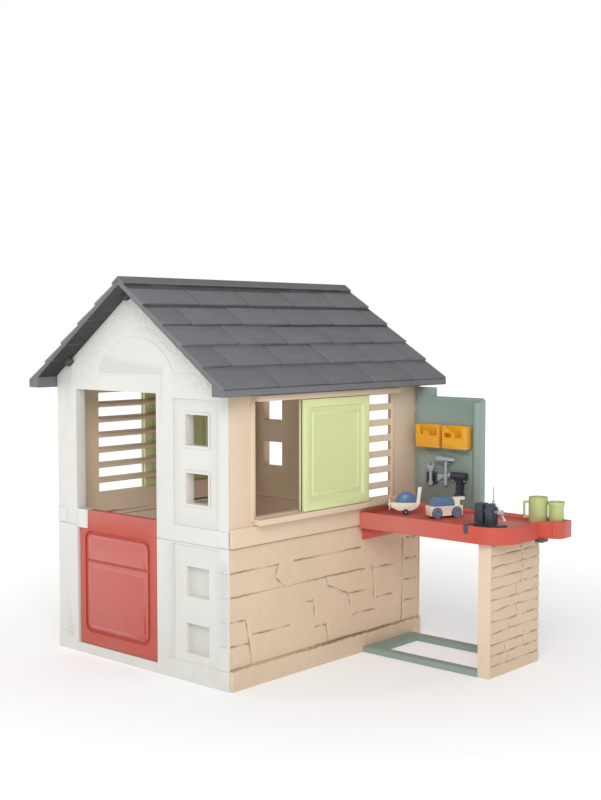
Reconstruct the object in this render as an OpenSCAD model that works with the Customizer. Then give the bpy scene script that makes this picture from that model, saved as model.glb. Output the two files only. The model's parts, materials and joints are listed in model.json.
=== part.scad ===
// Garden playhouse with a half door, two sliding shutters and a workshop bench.
// X runs across the front, Y from the front to the back, Z up from the ground.
// The pieces are drawn with x = 0 on the ridge and y = 0 on the front wall's face,
// and house() then moves them so that the origin is under the middle of the whole.

/* [House] */
// Width of the house over its walls
body_w = 830; // [760:1:960]
// Depth of the house over its front and rear walls
body_d = 975; // [930:1:1150]
// Height of the ridge above the ground
ridge_z = 1270; // [1200:1:1450]
// Height of the joint between the lower and the upper walls
belt_z = 437; // [400:1:450]
// Thickness of the front and rear walls
facade_t = 40; // [30:1:50]
// Thickness of the side walls
side_t = 24; // [18:1:30]
// Thickness of the face that covers the side walls' ends
face_t = 6; // [4:0.5:8]
// Height of the skirting
skirt_z = 61; // [40:1:80]
// How far the skirting stands out of the side walls
skirt_out = 10; // [6:1:16]

/* [Roof] */
// How far the eaves reach past the side walls
eave_out = 59; // [50:1:90]
// How far the roof reaches past the front and rear walls
verge_out = 75; // [50:1:110]
// Height of the top edge of the eaves
eave_z = 930; // [915:1:940]
// Depth of the board along the eaves
fascia_h = 27; // [20:1:30]
// Thickness of a roof panel over its tiles
roof_t = 24; // [20:1:32]
// Step from one row of tiles to the next
lap_t = 8; // [5:0.5:10]
// Width of the ridge cap down each slope
cap_w = 38; // [30:1:50]
// Rows of tiles on a slope
tile_rows = 5; // [4:1:6]
// Distance between the joints in a row of tiles
tile_pitch = 229; // [180:1:260]

/* [Door] */
// Width of the corner post beside the doorway
post_w = 102; // [80:1:120]
// Width of the doorway
door_w = 404; // [380:1:430]
// Height of the door sill
sill_z = 32; // [24:1:40]
// Height of the doorway
lintel_z = 899; // [880:1:902]
// Height of the top of the half door
door_top = 492; // [470:1:520]
// Thickness of the half door
door_t = 24; // [20:1:28]
// Gap round the half door
door_gap = 5; // [3:0.5:7]
// Radius of the hinge pins
hinge_r = 5; // [4:0.5:6]

/* [Windows] */
// Distance of the small square windows from the corner
pane_in = 90; // [70:1:100]
// Side of the small square windows
pane_w = 100; // [80:1:110]
// Distance from the front of the house to the side window
win_y0 = 116; // [100:1:140]
// Distance from the side window to the back of the house
win_rear = 174; // [150:1:200]
// Height of the side window's sill
win_z0 = 522; // [515:1:530]
// Height of the side window's top
win_z1 = 882; // [870:1:884]
// Height of one louvre gap
louvre_gap = 30; // [24:1:34]
// Distance from one louvre to the next
louvre_pitch = 54; // [50:1:56]
// Louvre gaps in a side window
louvres = 7; // [5:1:7]

/* [Shutters] */
// How far a closed shutter covers the edges of the open half of a window
shutter_lap = 4.25; // [2:0.25:10]
// Thickness of a shutter
shutter_t = 24; // [16:1:26]
// Place of the right shutter along its travel, from its front end
shutter_at = 198; // [100:1:250]
// Place of the left shutter along its travel, from its rear end
left_shutter_at = 127; // [100:1:250]
// Clearance between a shutter and its rails
slide_gap = 1; // [0.5:0.1:2]

/* [Bench] */
// Reach of the worktop from the wall's band
bench_w = 624; // [560:1:700]
// Distance of the worktop's back edge from the back of the house
bench_in = 38; // [30:1:60]
// Depth of the worktop
bench_d = 320; // [300:1:340]
// Height of the worktop's rim
bench_z = 485; // [470:1:490]
// Height of the worktop's edge
edge_h = 55; // [45:1:60]
// Depth of the worktop's tray
tray_h = 12; // [8:1:16]
// Thickness of the leg panel
leg_t = 44; // [36:1:52]
// Width of the base rails
rail_w = 35; // [28:1:42]
// Height of the base rails
rail_h = 20; // [16:1:26]

/* [Tool panel] */
// Length of the tool panel
panel_w = 275; // [260:1:320]
// Height of the top of the tool panel
panel_z = 865; // [840:1:870]
// Thickness of the tool panel
panel_t = 25; // [18:1:30]
// Width of a hanging bin
bin_w = 98; // [80:1:104]
// Height of a hanging bin
bin_h = 78; // [60:1:90]
// Depth of a hanging bin
bin_d = 38; // [30:1:44]

/* [Toys] */
// Length of the toy truck
truck_l = 118; // [100:1:130]
// Width of the toy truck
truck_w = 44; // [38:1:50]
// Radius of the toy truck's wheels
wheel_r = 17; // [14:0.5:18]
// Length of the toy plane
plane_l = 100; // [84:1:110]
// Length of the toy vice
vice_l = 100; // [90:1:110]
// Radius of the large cup
cup_r = 31; // [24:1:34]
// Height of the large cup
cup_h = 84; // [60:1:96]

/* [Hidden] */
$fn = 48;
past = 1;             // how far a cut runs past a face
turn_gap = 0.05;      // radial running clearance of pins and axles

// House
half_w = body_w / 2;
door_x0 = -half_w + post_w;
door_x1 = door_x0 + door_w;
pane_x0 = half_w - pane_in - pane_w;
side_x = half_w - side_t;                // inner face of the side walls
band_out = 8;
band_z = belt_z + 60;
field_depth = 5;
field_x0 = door_x1 + 79;
field_x1 = half_w - 43;
blind_depth = 12;
collar_out = 3;
dowel_r = 5;
dowel_l = 27;
corner_zs = [120, 310, belt_z + 120, belt_z + 400];
belt_xs = [-half_w + 60, door_x1 + 36, half_w - 72];
belt_ys = [120, body_d / 2, body_d - 120];
groove_w = 3;
groove_d = 3;
relief_r = 172;                          // arch moulded in the gable
relief_zs = [66, 195];                   // lines across the gable, above the doorway

// Joints between the moulded stones of a lower side wall, in courses above the skirting:
// runs along the wall as [start, end, course], and risers as [y, lower course, upper course]
courses = 5;
course_h = (belt_z - skirt_z) / courses;
quoin_y = body_d - 105;
stone_end = body_d - 23;
stone_runs = concat(
  [[14, 225, 4], [302, 622, 4], [14, 655, 3], [14, 83, 2], [354, 396, 2.1], [565, 688, 2]],
  [[109, 276, 1.3], [14, 91, 1], [407, 468, 0.9], [600, 719, 1]],
  [for (k = [1:3]) [quoin_y, stone_end, k]]);
stone_risers = [[222, 3.1, 4], [457, 2.5, 3], [575, 1.5, 2], [393, 1.4, 2.1], [80, 0, 2], [465, 0, 0.9],
                [quoin_y, 0, 4]];

// Roof
eave_x = half_w + eave_out;
roof_a = atan2(ridge_z - eave_z, eave_x);
slope_l = (ridge_z - eave_z) / sin(roof_a);
tile_l = (slope_l - cap_w) / tile_rows;
soffit_x = half_w + 5;
roof_y0 = -verge_out;
roof_y1 = body_d + verge_out;
first_joint = [245, 125];                // from the front verge, in odd and in even rows
cap_gap = 0.05;                          // between the ridge cap and the roof panels
clip_ss = [60, slope_l - 150];           // places of the clips and screws down the slope
clip_l = 26;
clip_h = 18;
screw_r = 4;
screw_head_r = 8;
screw_head_h = 4;
screw_y = 11;                            // from the wall's face
wall_screw_s = (half_w - side_t / 2 + (roof_t + clip_h / 2) * sin(roof_a)) / cos(roof_a);
seat_h = lap_t + screw_head_h;

// Doorway
knuckle_r = door_t / 2;
hinge_x = door_x0 + knuckle_r + 1.5;
hinge_y = 6 + knuckle_r;
door_free_x = door_x1 - door_gap;
door_z0 = sill_z + 2;
notch_r = 38;
notch_gap = 2;
notch_z = door_top - 63;
pin_l = 40;
pin_grip = 20;                           // length of pin held in the sill or bracket

// Small windows and blind squares: the heights of their lower edges
pane_zs = [561, 743];
blind_zs = [90, 270];

// Side windows and shutters
win_y1 = body_d - win_rear;
mullion_y = (win_y0 + win_y1) / 2 + 5;
mullion_w = 24;
open_w = mullion_y - mullion_w - win_y0;
shutter_w = open_w + 2 * shutter_lap;
border_w = 18;
border_t = 3;
shutter_x0 = half_w + border_t + slide_gap;
shutter_y0 = win_y0 + shutter_at;
shutter_z0 = win_z0 - 2;
shutter_z1 = win_z1 - 3;
tongue_t = 6;
tongue_h = 9;
tongue_x = shutter_x0 + (shutter_t - tongue_t) / 2;
rail_x1 = shutter_x0 + shutter_t + 4;
rail_y0 = win_y0 - 9;
rail_y1 = win_y1 + 9;
ledge_z0 = shutter_z0 - 20;
ledge_z1 = shutter_z0 - 2;
top_rail_h = 18;
side_top = ridge_z - roof_t / cos(roof_a) - half_w * tan(roof_a);

// Bench
bench_x0 = half_w + band_out;
bench_x1 = bench_x0 + bench_w;
bench_y1 = body_d - bench_in;
bench_y0 = bench_y1 - bench_d;
nose_x = bench_x1 - 57;                  // end of the worktop ahead of its rear lobe
nose_r = 90;
lobe_y = bench_y1 - 75;
lobe_r = 25;
sweep_r = 40;
rim_t = 9;
tray_z = bench_z - tray_h;
slab_t = 8;
under_z = bench_z - edge_h;
leg_x1 = nose_x - 60;
leg_x0 = leg_x1 - leg_t;
leg_y0 = bench_y0 + 24;
leg_y1 = bench_y1 + 4;
slat_n = 11;
slat_z0 = 40;
slat_pitch = (under_z - slat_z0 - 10) / slat_n;
slat_h = (under_z - slat_z0) / slat_n - 6;
slat_d = 4;
base_x0 = half_w + skirt_out;
base_y0 = bench_y0 + 20;
base_y1 = bench_y1 - 22;
wall_rail_w = 50;

// Tool panel
panel_y = bench_y1;
panel_x1 = bench_x0 + panel_w;
step_w = 72;
step_z = panel_z + 31;
peg_r = 3;
peg_l = 20;
hang_rail = 7;
bin_t = 3;
bin_gap = 14;
bin_x0 = bench_x0 + 31;
bin_z0 = panel_z - 175;
hang_y = panel_y - 14;                   // middle plane of the hanging tools
hammer_x = bench_x0 + 139;
hammer_z = bin_z0 - 41;
wrench_x = bench_x0 + 75;
wrench_z = bin_z0 - 129;
saw_x = bench_x0 + 53;
saw_z = bin_z0 - 132;
saw_grip = 44;
drill_x = bench_x0 + 189;
drill_z = bin_z0 - 96;

// Toys on the worktop
truck_at = [bench_x0 + 239, bench_y0 + 155];
truck_turn = 64;
wheel_base = truck_l - 44;
wheel_out = 3;                           // how far a wheel stands out of its arch
arch_gap = 3;
beam_w = truck_w - 18;
axle_r = 2.5;
clear_z = 8;
deck_z = 2 * wheel_r + 6;
roll_gap = 0.3;                          // between the toys' wheels and the worktop
plane_at = [bench_x0 + 99, bench_y0 + 125];
plane_turn = 222;
plane_wheel_r = 10;
hull_z = 40;
propeller_z = 33;
pin_r = 2;
vice_at = [nose_x - 142, bench_y0 + 73];
vice_w = 36;
vice_z = 52;
vice_top = vice_z + 25;
plate_h = 12;
jaw_t = 30;
jaw_open = 10;
jaw_l = 26;
jaw_gap = 0.4;
screw_neck = 14;
screw_head_l = 14;
thread_r = 5;
bar_r = 3.5;
bar_l = 68;
bar_turn = 39;
driver_z = 132;
jaw_x0 = jaw_t + jaw_open;
bar_x = jaw_x0 + jaw_l + screw_neck + screw_head_l / 2;
hook_y = bench_y0 - vice_at[1];          // the worktop's front face, seen from the vice
cup_large_at = [nose_x - 38, bench_y1 - 49];
cup_small_at = [bench_x1 - 36, bench_y1 - 35];
cup_t = 2.5;
cup_small_r = 25;
cup_small_h = 72;

mid_x = (bench_x1 - eave_x) / 2;
mid_y = body_d / 2;

// ---- Helpers ----

module house() translate([-mid_x, -mid_y, 0]) children();

// Turns a front or right-hand piece into its rear or left-hand twin
module turned() translate([0, body_d, 0]) rotate([0, 0, 180]) children();

module block(low, high) translate(low) cube(high - low);

module span(a0, a1, b0, b1) translate([a0, b0]) square([a1 - a0, b1 - b0]);

// An outline in X and Z, from y0 back to y1
module slab(y0, y1) translate([0, y1, 0]) rotate([90, 0, 0]) linear_extrude(y1 - y0) children();

// An outline in Y and Z, from x0 out to x1
module plate(x0, x1) translate([x0, 0, 0]) rotate([90, 0, 90]) linear_extrude(x1 - x0) children();

module rod_x(r, x0, x1) translate([x0, 0, 0]) rotate([0, 90, 0]) cylinder(r = r, h = x1 - x0);

module rod_y(r, y0, y1) translate([0, y1, 0]) rotate([90, 0, 0]) cylinder(r = r, h = y1 - y0);

// Height of the roof's underside at x
function soffit_z(x) = ridge_z - roof_t / cos(roof_a) - x * tan(roof_a);

// ---- Dowels ----

// Pegs that lock the side walls to the front wall, at the given heights
module front_corner_dowels(zs)
  for (s = [-1, 1], z = zs)
    translate([s * (side_x - dowel_l / 2 + 12), (face_t + facade_t) / 2, z])
      rod_x(dowel_r, -dowel_l / 2, dowel_l / 2);

module corner_dowel_set(zs) {
  front_corner_dowels(zs);
  turned() front_corner_dowels(zs);
}

// Pegs across the joint between the lower and the upper walls
module belt_dowel(x, y) translate([x, y, belt_z - 15]) cylinder(r = dowel_r, h = 30);

module belt_dowel_set() {
  for (x = belt_xs) {
    belt_dowel(x, (face_t + facade_t) / 2);
    turned() belt_dowel(x, (face_t + facade_t) / 2);
  }
  for (s = [-1, 1], y = belt_ys) belt_dowel(s * (side_x + side_t / 2), y);
}

// ---- Front and rear walls ----

module facade_blank(z_low) {
  slab(0, face_t) intersection() {
    facade_outline(half_w);
    span(-half_w, half_w, z_low, z_low == 0 ? belt_z : ridge_z);
  }
  slab(face_t, facade_t) intersection() {
    facade_outline(side_x);
    span(-side_x, side_x, z_low, z_low == 0 ? belt_z : ridge_z);
  }
}

module facade_outline(w)
  polygon([[-w, 0], [w, 0], [w, soffit_z(half_w)], [w, soffit_z(w)], [0, soffit_z(0)],
           [-w, soffit_z(w)]]);

module doorway() slab(-past, facade_t + past) span(door_x0, door_x1, sill_z, lintel_z);

module lower_facade() {
  difference() {
    facade_blank(0);
    doorway();
    slab(-past, field_depth) span(field_x0, field_x1, skirt_z, belt_z - 6);
    for (z = blind_zs) slab(-past, blind_depth) span(pane_x0, pane_x0 + pane_w, z, z + pane_w - 6);
    corner_dowel_set(corner_zs);
    belt_dowel_set();
  }
}

module front_lower_wall() color("#eeece6") house() difference() {
  union() {
    lower_facade();
    block([door_x1 - 11, hinge_y + knuckle_r + 1, 60], [door_x1, facade_t, belt_z]);
  }
  translate([hinge_x, hinge_y, sill_z - pin_grip]) cylinder(r = hinge_r, h = pin_grip + past);
}

// Arch and lines moulded in the gable
module gable_relief() slab(-past, groove_d) {
  difference() {
    translate([0, lintel_z + 13]) difference() {
      circle(r = relief_r + groove_w);
      circle(r = relief_r - groove_w);
    }
    span(-half_w, half_w, 0, lintel_z + relief_zs[0] + groove_w / 2);
  }
  for (z = relief_zs) translate([0, lintel_z + z])
    span(-(ridge_z - lintel_z - z) * 0.9, (ridge_z - lintel_z - z) * 0.9, 0, groove_w);
}

module gable_facade() difference() {
  union() {
    facade_blank(belt_z);
    for (s = [-1, 1])
      block([s > 0 ? half_w - 48 : -half_w, -collar_out, belt_z + 4],
            [s > 0 ? half_w : -half_w + 48, 0, belt_z + 53]);
  }
  doorway();
  slab(-past, field_depth) span(field_x0, field_x1, belt_z + 53, lintel_z - 12);
  for (z = pane_zs) slab(-past, facade_t + past) span(pane_x0, pane_x0 + pane_w, z, z + pane_w - 4);
  gable_relief();
  corner_dowel_set(corner_zs);
  belt_dowel_set();
}

module front_gable_wall() color("#f1efea") house() gable_facade();

module rear_lower_wall() color("#dcc8ae") house() turned() lower_facade();

module rear_gable_wall() color("#e0cdb5") house() turned() gable_facade();

// ---- Side walls ----

module stone_joints() {
  for (r = stone_runs)
    block([half_w - groove_d, r[0], skirt_z + r[2] * course_h],
          [half_w + past, r[1], skirt_z + r[2] * course_h + groove_w]);
  for (r = stone_risers)
    block([half_w - groove_d, r[0], skirt_z + r[1] * course_h],
          [half_w + past, r[0] + groove_w, skirt_z + r[2] * course_h]);
}

module lower_side() difference() {
  union() {
    plate(side_x, half_w) span(face_t, body_d - face_t, 0, belt_z);
    plate(half_w, half_w + skirt_out) span(face_t, body_d - face_t, 0, skirt_z);
  }
  stone_joints();
  corner_dowel_set(corner_zs);
  belt_dowel_set();
}

module window_outline() {
  span(win_y0, mullion_y - mullion_w, win_z0, win_z1);
  for (k = [0:louvres - 1])
    span(mullion_y, win_y1, win_z0 + k * louvre_pitch, win_z0 + k * louvre_pitch + louvre_gap);
}

module window_side() difference() {
  union() {
    plate(side_x, half_w) span(face_t, body_d - face_t, belt_z, side_top);
    plate(half_w, half_w + band_out) span(face_t, body_d - face_t, belt_z, band_z);
    plate(half_w, half_w + border_t) {
      span(win_y0 - border_w, win_y0, ledge_z1, win_z1 - 4);
      span(win_y1, win_y1 + border_w, ledge_z1, win_z1 - 4);
    }
    plate(half_w, rail_x1) span(rail_y0, rail_y1, ledge_z0, ledge_z1);
  }
  plate(side_x - past, half_w + past) window_outline();
  plate(tongue_x - slide_gap, tongue_x + tongue_t + slide_gap)
    span(rail_y0 + 6, rail_y1 - 6, ledge_z1 - tongue_h, ledge_z1 + past);
  on_slope() screw_seats();
  corner_dowel_set(corner_zs);
  belt_dowel_set();
}

module right_lower_wall() color("#dcc8ae") house() lower_side();

module left_lower_wall() color("#dcc8ae") house() turned() lower_side();

module right_window_wall() color("#e0cdb5") house() window_side();

module left_window_wall() color("#e0cdb5") house() turned() window_side();

module top_rail() difference() {
  plate(half_w, rail_x1) span(rail_y0, rail_y1, win_z1, win_z1 + top_rail_h);
  plate(tongue_x - slide_gap, tongue_x + tongue_t + slide_gap)
    span(rail_y0 + 6, rail_y1 - 6, win_z1 - past, win_z1 + tongue_h);
}

module shutter() difference() {
  union() {
    plate(shutter_x0, shutter_x0 + shutter_t)
      span(shutter_y0, shutter_y0 + shutter_w, shutter_z0, shutter_z1);
    plate(tongue_x, tongue_x + tongue_t)
      span(shutter_y0, shutter_y0 + shutter_w, shutter_z0 - tongue_h, shutter_z1 + tongue_h);
  }
  plate(shutter_x0 + shutter_t - 4, shutter_x0 + shutter_t + past)
    span(shutter_y0 + 26, shutter_y0 + shutter_w - 34, shutter_z0 + 30, shutter_z1 - 26);
}

module right_shutter_rail() color("#d9c4a9") house() top_rail();

module left_shutter_rail() color("#d9c4a9") house() turned() top_rail();

module right_shutter() color("#cbd98d") house() shutter();

module left_shutter() color("#cbd98d") house() turned()
  translate([0, left_shutter_at - shutter_at, 0]) shutter();

// ---- Roof ----

// Places children by the distance down the right slope, y, and the height above its outer face
module on_slope() translate([0, 0, ridge_z]) rotate([0, roof_a, 0]) children();

// A point down the slope at s, sunk by d below the outer face
function slope_pt(s, d) =
  [s * cos(roof_a) - d * sin(roof_a), ridge_z - s * sin(roof_a) - d * cos(roof_a)];

module roof_profile() intersection() {
  polygon(concat(
    [slope_pt(0, lap_t)],
    [for (i = [0:tile_rows - 1], e = [0, 1]) slope_pt(cap_w + (i + e) * tile_l, (1 - e) * lap_t)],
    [[eave_x, eave_z - fascia_h], [soffit_x, eave_z - fascia_h], [soffit_x, soffit_z(soffit_x)],
     [0, soffit_z(0)]]));
  span(0.2, eave_x, 0, ridge_z);
}

// Joints between the tiles of one row, staggered from row to row
module tile_joints()
  for (i = [0:tile_rows - 1])
    for (y = [roof_y0 + first_joint[i % 2] : tile_pitch : roof_y1 - 40])
      translate([cap_w + i * tile_l, y, -lap_t - 2]) cube([tile_l, groove_w, lap_t + 2 + past]);

function screw_ys() = [-screw_y, body_d + screw_y];

// Places of one slope's screws: two at each verge, into the clips, and one into the side wall's top
function screw_places() =
  concat([for (s = clip_ss, y = screw_ys()) [s, y, 0]], [[wall_screw_s, body_d / 2, 0]]);

module screw_seats() for (p = screw_places()) translate(p) {
  translate([0, 0, -seat_h]) cylinder(r = screw_head_r + 1, h = seat_h + past);
  translate([0, 0, -roof_t - clip_h]) cylinder(r = screw_r, h = roof_t + clip_h);
}

module roof_panel() difference() {
  slab(roof_y0, roof_y1) roof_profile();
  on_slope() tile_joints();
  on_slope() screw_seats();
}

module roof_right() color("#6b6d72") house() roof_panel();

module roof_left() color("#6b6d72") house() mirror([1, 0, 0]) roof_panel();

module ridge_cap() color("#626469") house() slab(roof_y0, roof_y1)
  for (s = [0, 1]) mirror([s, 0])
    polygon([[0, ridge_z], slope_pt(cap_w, 0), slope_pt(cap_w, lap_t - cap_gap),
             slope_pt(0, lap_t - cap_gap)]);

// Clips under the verges, which hook behind the front and rear walls' top edges
module clip_pair() for (s = clip_ss, y = screw_ys())
  translate([s - clip_l / 2, y - screw_y + 1, -roof_t - clip_h]) difference() {
    cube([clip_l, 2 * screw_y - 2, clip_h]);
    translate([clip_l / 2, screw_y - 1, -past]) cylinder(r = screw_r, h = clip_h + 2 * past);
  }

module roof_clips() color("#2e3033") house()
  for (m = [0, 1]) mirror([m, 0, 0]) on_slope() clip_pair();

module screw_set() for (p = screw_places()) translate(p) {
  translate([0, 0, -seat_h]) cylinder(r = screw_head_r, h = screw_head_h);
  translate([0, 0, past - roof_t - clip_h]) cylinder(r = screw_r, h = roof_t + clip_h - seat_h);
}

module roof_screws() color("#3a3c40") house()
  for (m = [0, 1]) mirror([m, 0, 0]) on_slope() screw_set();

module corner_dowels() color("#b9b4aa") house() corner_dowel_set(corner_zs);

module belt_dowels() color("#b9b4aa") house() belt_dowel_set();

// ---- Half door ----

module door() color("#d4574a") house() difference() {
  union() {
    block([hinge_x, hinge_y - knuckle_r, door_z0], [door_free_x, hinge_y + knuckle_r, door_top]);
    translate([hinge_x, hinge_y, door_z0]) cylinder(r = knuckle_r, h = door_top - door_z0);
  }
  translate([hinge_x, hinge_y, notch_z - notch_gap])
    cylinder(r = notch_r + notch_gap, h = door_top - notch_z + notch_gap + past);
  for (z = [door_z0 - past, notch_z - notch_gap - pin_l + pin_grip])
    translate([hinge_x, hinge_y, z]) cylinder(r = hinge_r + turn_gap, h = pin_l - pin_grip + past);
  slab(0, hinge_y - knuckle_r + 4) difference() {
    span(door_x0 + 49, door_free_x - 53, door_z0 + 56, notch_z - 17);
    span(door_x0 + 62, door_free_x - 66, door_z0 + 69, notch_z - 132);
    span(door_x0 + 62, door_free_x - 66, notch_z - 119, notch_z - 30);
  }
}

// Block that holds the upper hinge pin, rounded so that the door turns past it
module door_bracket() color("#f3f1ec") house() difference() {
  intersection() {
    block([door_x0, hinge_y - knuckle_r - 4, notch_z], [hinge_x + notch_r, facade_t, door_top]);
    translate([hinge_x, hinge_y, notch_z]) cylinder(r = notch_r, h = door_top - notch_z);
  }
  translate([hinge_x, hinge_y, notch_z - past]) cylinder(r = hinge_r, h = pin_grip + past);
}

module hinge_pins() color("#9b9da1") house() {
  translate([hinge_x, hinge_y, sill_z - pin_grip]) cylinder(r = hinge_r, h = pin_l);
  translate([hinge_x, hinge_y, notch_z - pin_l + pin_grip]) cylinder(r = hinge_r, h = pin_l);
}

// ---- Bench ----

// Plan of the worktop, drawn inside its edge by d
module bench_plan(d) {
  span(bench_x0 + d, nose_x - nose_r, bench_y0 + d, bench_y1 - d);
  span(bench_x0 + d, nose_x - d, bench_y0 + nose_r, bench_y1 - d);
  translate([nose_x - nose_r, bench_y0 + nose_r]) circle(r = nose_r - d);
  span(nose_x - lobe_r, bench_x1 - lobe_r, lobe_y + d, bench_y1 - d);
  span(nose_x - lobe_r, bench_x1 - d, lobe_y + lobe_r, bench_y1 - d);
  translate([bench_x1 - lobe_r, lobe_y + lobe_r]) circle(r = lobe_r - d);
  difference() {
    span(nose_x - lobe_r, nose_x + sweep_r - d, lobe_y - sweep_r + d, lobe_y + lobe_r);
    translate([nose_x + sweep_r, lobe_y - sweep_r]) circle(r = sweep_r + d);
  }
}

module worktop() color("#d8604f") house() difference() {
  translate([0, 0, under_z]) linear_extrude(edge_h) bench_plan(0);
  translate([0, 0, tray_z]) linear_extrude(tray_h + past) bench_plan(rim_t);
  translate([0, 0, under_z - past])
    linear_extrude(edge_h - tray_h - slab_t + past) bench_plan(rim_t);
}

module worktop_bracket() color("#c9523f") house() {
  block([half_w, leg_y0, under_z - 44], [half_w + 7, bench_y1 - 22, under_z]);
  for (y = [leg_y0, bench_y1 - 34])
    slab(y, y + 12)
      polygon([[half_w + 7, under_z], [half_w + 110, under_z], [half_w + 92, under_z - 9],
               [half_w + 7, under_z - 40]]);
}

module worktop_clip() color("#33302f") house()
  block([nose_x - 12, lobe_y - 36, under_z - 11], [nose_x + 14, lobe_y + 4, under_z]);

module leg_panel() color("#d9c3a6") house() difference() {
  union() {
    block([leg_x0, leg_y0, 0], [leg_x1, leg_y1, under_z]);
    block([leg_x0 + 8, leg_y0 + 12, under_z], [leg_x1 - 8, bench_y1 - rim_t - 12, tray_z - slab_t]);
  }
  for (k = [0:slat_n - 1])
    slab(leg_y0 + 14, leg_y1 + past) translate([leg_x1, slat_z0 + k * slat_pitch])
      polygon([[past, 0], [-slat_d, 0], [-slat_d, 3], [0, slat_h], [past, slat_h]]);
}

module base_frame() color("#7f938a") house() {
  block([base_x0, base_y0, 0], [base_x0 + wall_rail_w, base_y1, rail_h]);
  for (y = [base_y0, base_y1 - rail_w])
    block([base_x0 + wall_rail_w, y, 0], [leg_x0, y + rail_w, rail_h]);
}

// ---- Tool panel and what hangs on it ----

module peg(x, z) translate([x, 0, z]) rod_y(peg_r, panel_y - peg_l, panel_y);

module tool_panel() color("#7e9389") house() {
  slab(panel_y, panel_y + panel_t) {
    span(bench_x0, panel_x1, under_z, panel_z - 14);
    span(bench_x0, panel_x1 - 14, panel_z - 14, panel_z);
    translate([panel_x1 - 14, panel_z - 14]) circle(r = 14);
    span(bench_x0, bench_x0 + step_w, panel_z, step_z);
  }
  intersection() {
    translate([panel_x1 - 16, panel_y, bench_z]) cylinder(r = 16, h = panel_z - bench_z - 14);
    block([panel_x1 - 32, panel_y - 16, bench_z], [panel_x1, panel_y, panel_z]);
  }
  slab(panel_y - hang_rail, panel_y) {
    span(bin_x0 - 12, bin_x0 + 2 * bin_w + bin_gap + 12, bin_z0 + bin_h - 16, bin_z0 + bin_h - 10);
    span(hammer_x - 90, hammer_x + 90, bin_z0 - 22, bin_z0 - 17);
  }
  for (s = [-1, 1]) {
    peg(hammer_x + s * 12, hammer_z - 15);
    peg(wrench_x + s * 9, wrench_z + 44);
  }
  for (x = [-17, 30]) peg(drill_x + x, drill_z - 13 - peg_r);
}

module panel_brackets() color("#6f837a") house()
  for (z = [560, 800]) block([half_w, panel_y, z], [bench_x0, panel_y + panel_t, z + 36]);

// Bin with a scooped front, hung in front of the tool panel
module hanging_bin() difference() {
  cube([bin_w, bin_d, bin_h]);
  translate([bin_t, bin_t, bin_t]) cube([bin_w - 2 * bin_t, bin_d - 2 * bin_t, bin_h]);
  translate([bin_w / 2, 0, bin_h + 12]) rod_y(34, -past, bin_t + past);
}

module bin_left() color("#f0a51f") house()
  translate([bin_x0, panel_y - hang_rail - bin_d, bin_z0]) hanging_bin();

module bin_right() color("#f0a51f") house()
  translate([bin_x0 + bin_w + bin_gap, panel_y - hang_rail - bin_d, bin_z0]) hanging_bin();

module hammer_head() color("#c9ccd0") house() translate([hammer_x, hang_y, hammer_z]) difference() {
  union() {
    rod_x(12, -36, -14);
    rod_x(9, -14, 12);
    block([12, -6, -5], [38, 6, 5]);
  }
  translate([0, 0, -20]) cylinder(r = 5, h = 40);
}

module hammer_handle() color("#8f979d") house() translate([hammer_x, hang_y, hammer_z - 92]) {
  cylinder(r = 7, h = 38);
  cylinder(r = 5, h = 98);
}

module wrench() color("#d6d8da") house() translate([wrench_x, hang_y, wrench_z])
  slab(-3, 3) difference() {
    union() {
      span(-5, 5, 0, 54);
      translate([0, 60]) circle(r = 15);
      circle(r = 9);
    }
    span(-7, 7, 62, 80);
  }

module saw_blade() color("#9aa3a8") house()
  slab(panel_y - 6, panel_y - 3) translate([saw_x + saw_grip, saw_z])
    polygon([[0, 36], [30, 36], [30, 26], [0, 8]]);

module saw_handle() color("#2b3440") house() slab(panel_y - 9, panel_y) difference() {
  span(saw_x, saw_x + saw_grip, saw_z, saw_z + 40);
  for (x = [8, saw_grip - 13]) span(saw_x + x, saw_x + x + 5, saw_z + 9, saw_z + 31);
}

module drill_body() color("#27303c") house() translate([drill_x, hang_y, drill_z]) difference() {
  union() {
    rod_x(13, -24, 36);
    slab(-9, 9) polygon([[2, 0], [24, 0], [18, -64], [-4, -64]]);
    slab(-11, 11) polygon([[-10, -64], [24, -64], [22, -74], [-8, -74]]);
  }
  rod_x(4, -24 - past, -8);
}

module drill_chuck() color("#8d949b") house() translate([drill_x, hang_y, drill_z]) {
  rod_x(4 - turn_gap, -23.5, -9);
  rod_x(9, -38, -24.5);
  rod_x(4 - turn_gap, -25, -23.5);
}

// ---- Toy truck ----

module truck() translate([truck_at[0], truck_at[1], tray_z + roll_gap]) rotate([0, 0, truck_turn]) children();

// Chassis with an arch over each wheel, and a beam between the wheels that carries the axles
module truck_chassis() color("#e9e2cf") house() truck() difference() {
  slab(-truck_w / 2, truck_w / 2) span(-truck_l / 2, truck_l / 2, clear_z, deck_z);
  for (s = [-1, 1], side = [0, 1]) mirror([0, side, 0])
    translate([s * wheel_base / 2, 0, wheel_r]) rod_y(wheel_r + arch_gap, beam_w / 2, truck_w / 2 + past);
  for (s = [-1, 1]) translate([s * wheel_base / 2, 0, wheel_r])
    rod_y(axle_r + turn_gap, -truck_w / 2, truck_w / 2);
}

module truck_cab() color("#5f7fa6") house() truck()
  slab(-truck_w / 2 + 3, truck_w / 2 - 3) translate([0, deck_z])
    polygon([[9 - truck_l / 2, 0], [truck_l / 2 - 29, 0], [truck_l / 2 - 37, 26],
             [27 - truck_l / 2, 30], [15 - truck_l / 2, 17]]);

module truck_load() color("#ebe3c8") house() truck() translate([truck_l / 2, 0, deck_z]) {
  block([-25, -12, 0], [-5, 10, 16]);
  block([-29, -10, 16], [14, 4, 27]);
}

module truck_front_axle() truck_axle(-1);

module truck_rear_axle() truck_axle(1);

module truck_axle(s) color("#8e9197") house() truck() translate([s * wheel_base / 2, 0, wheel_r])
  rod_y(axle_r, -truck_w / 2 - wheel_out, truck_w / 2 + wheel_out);

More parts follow.
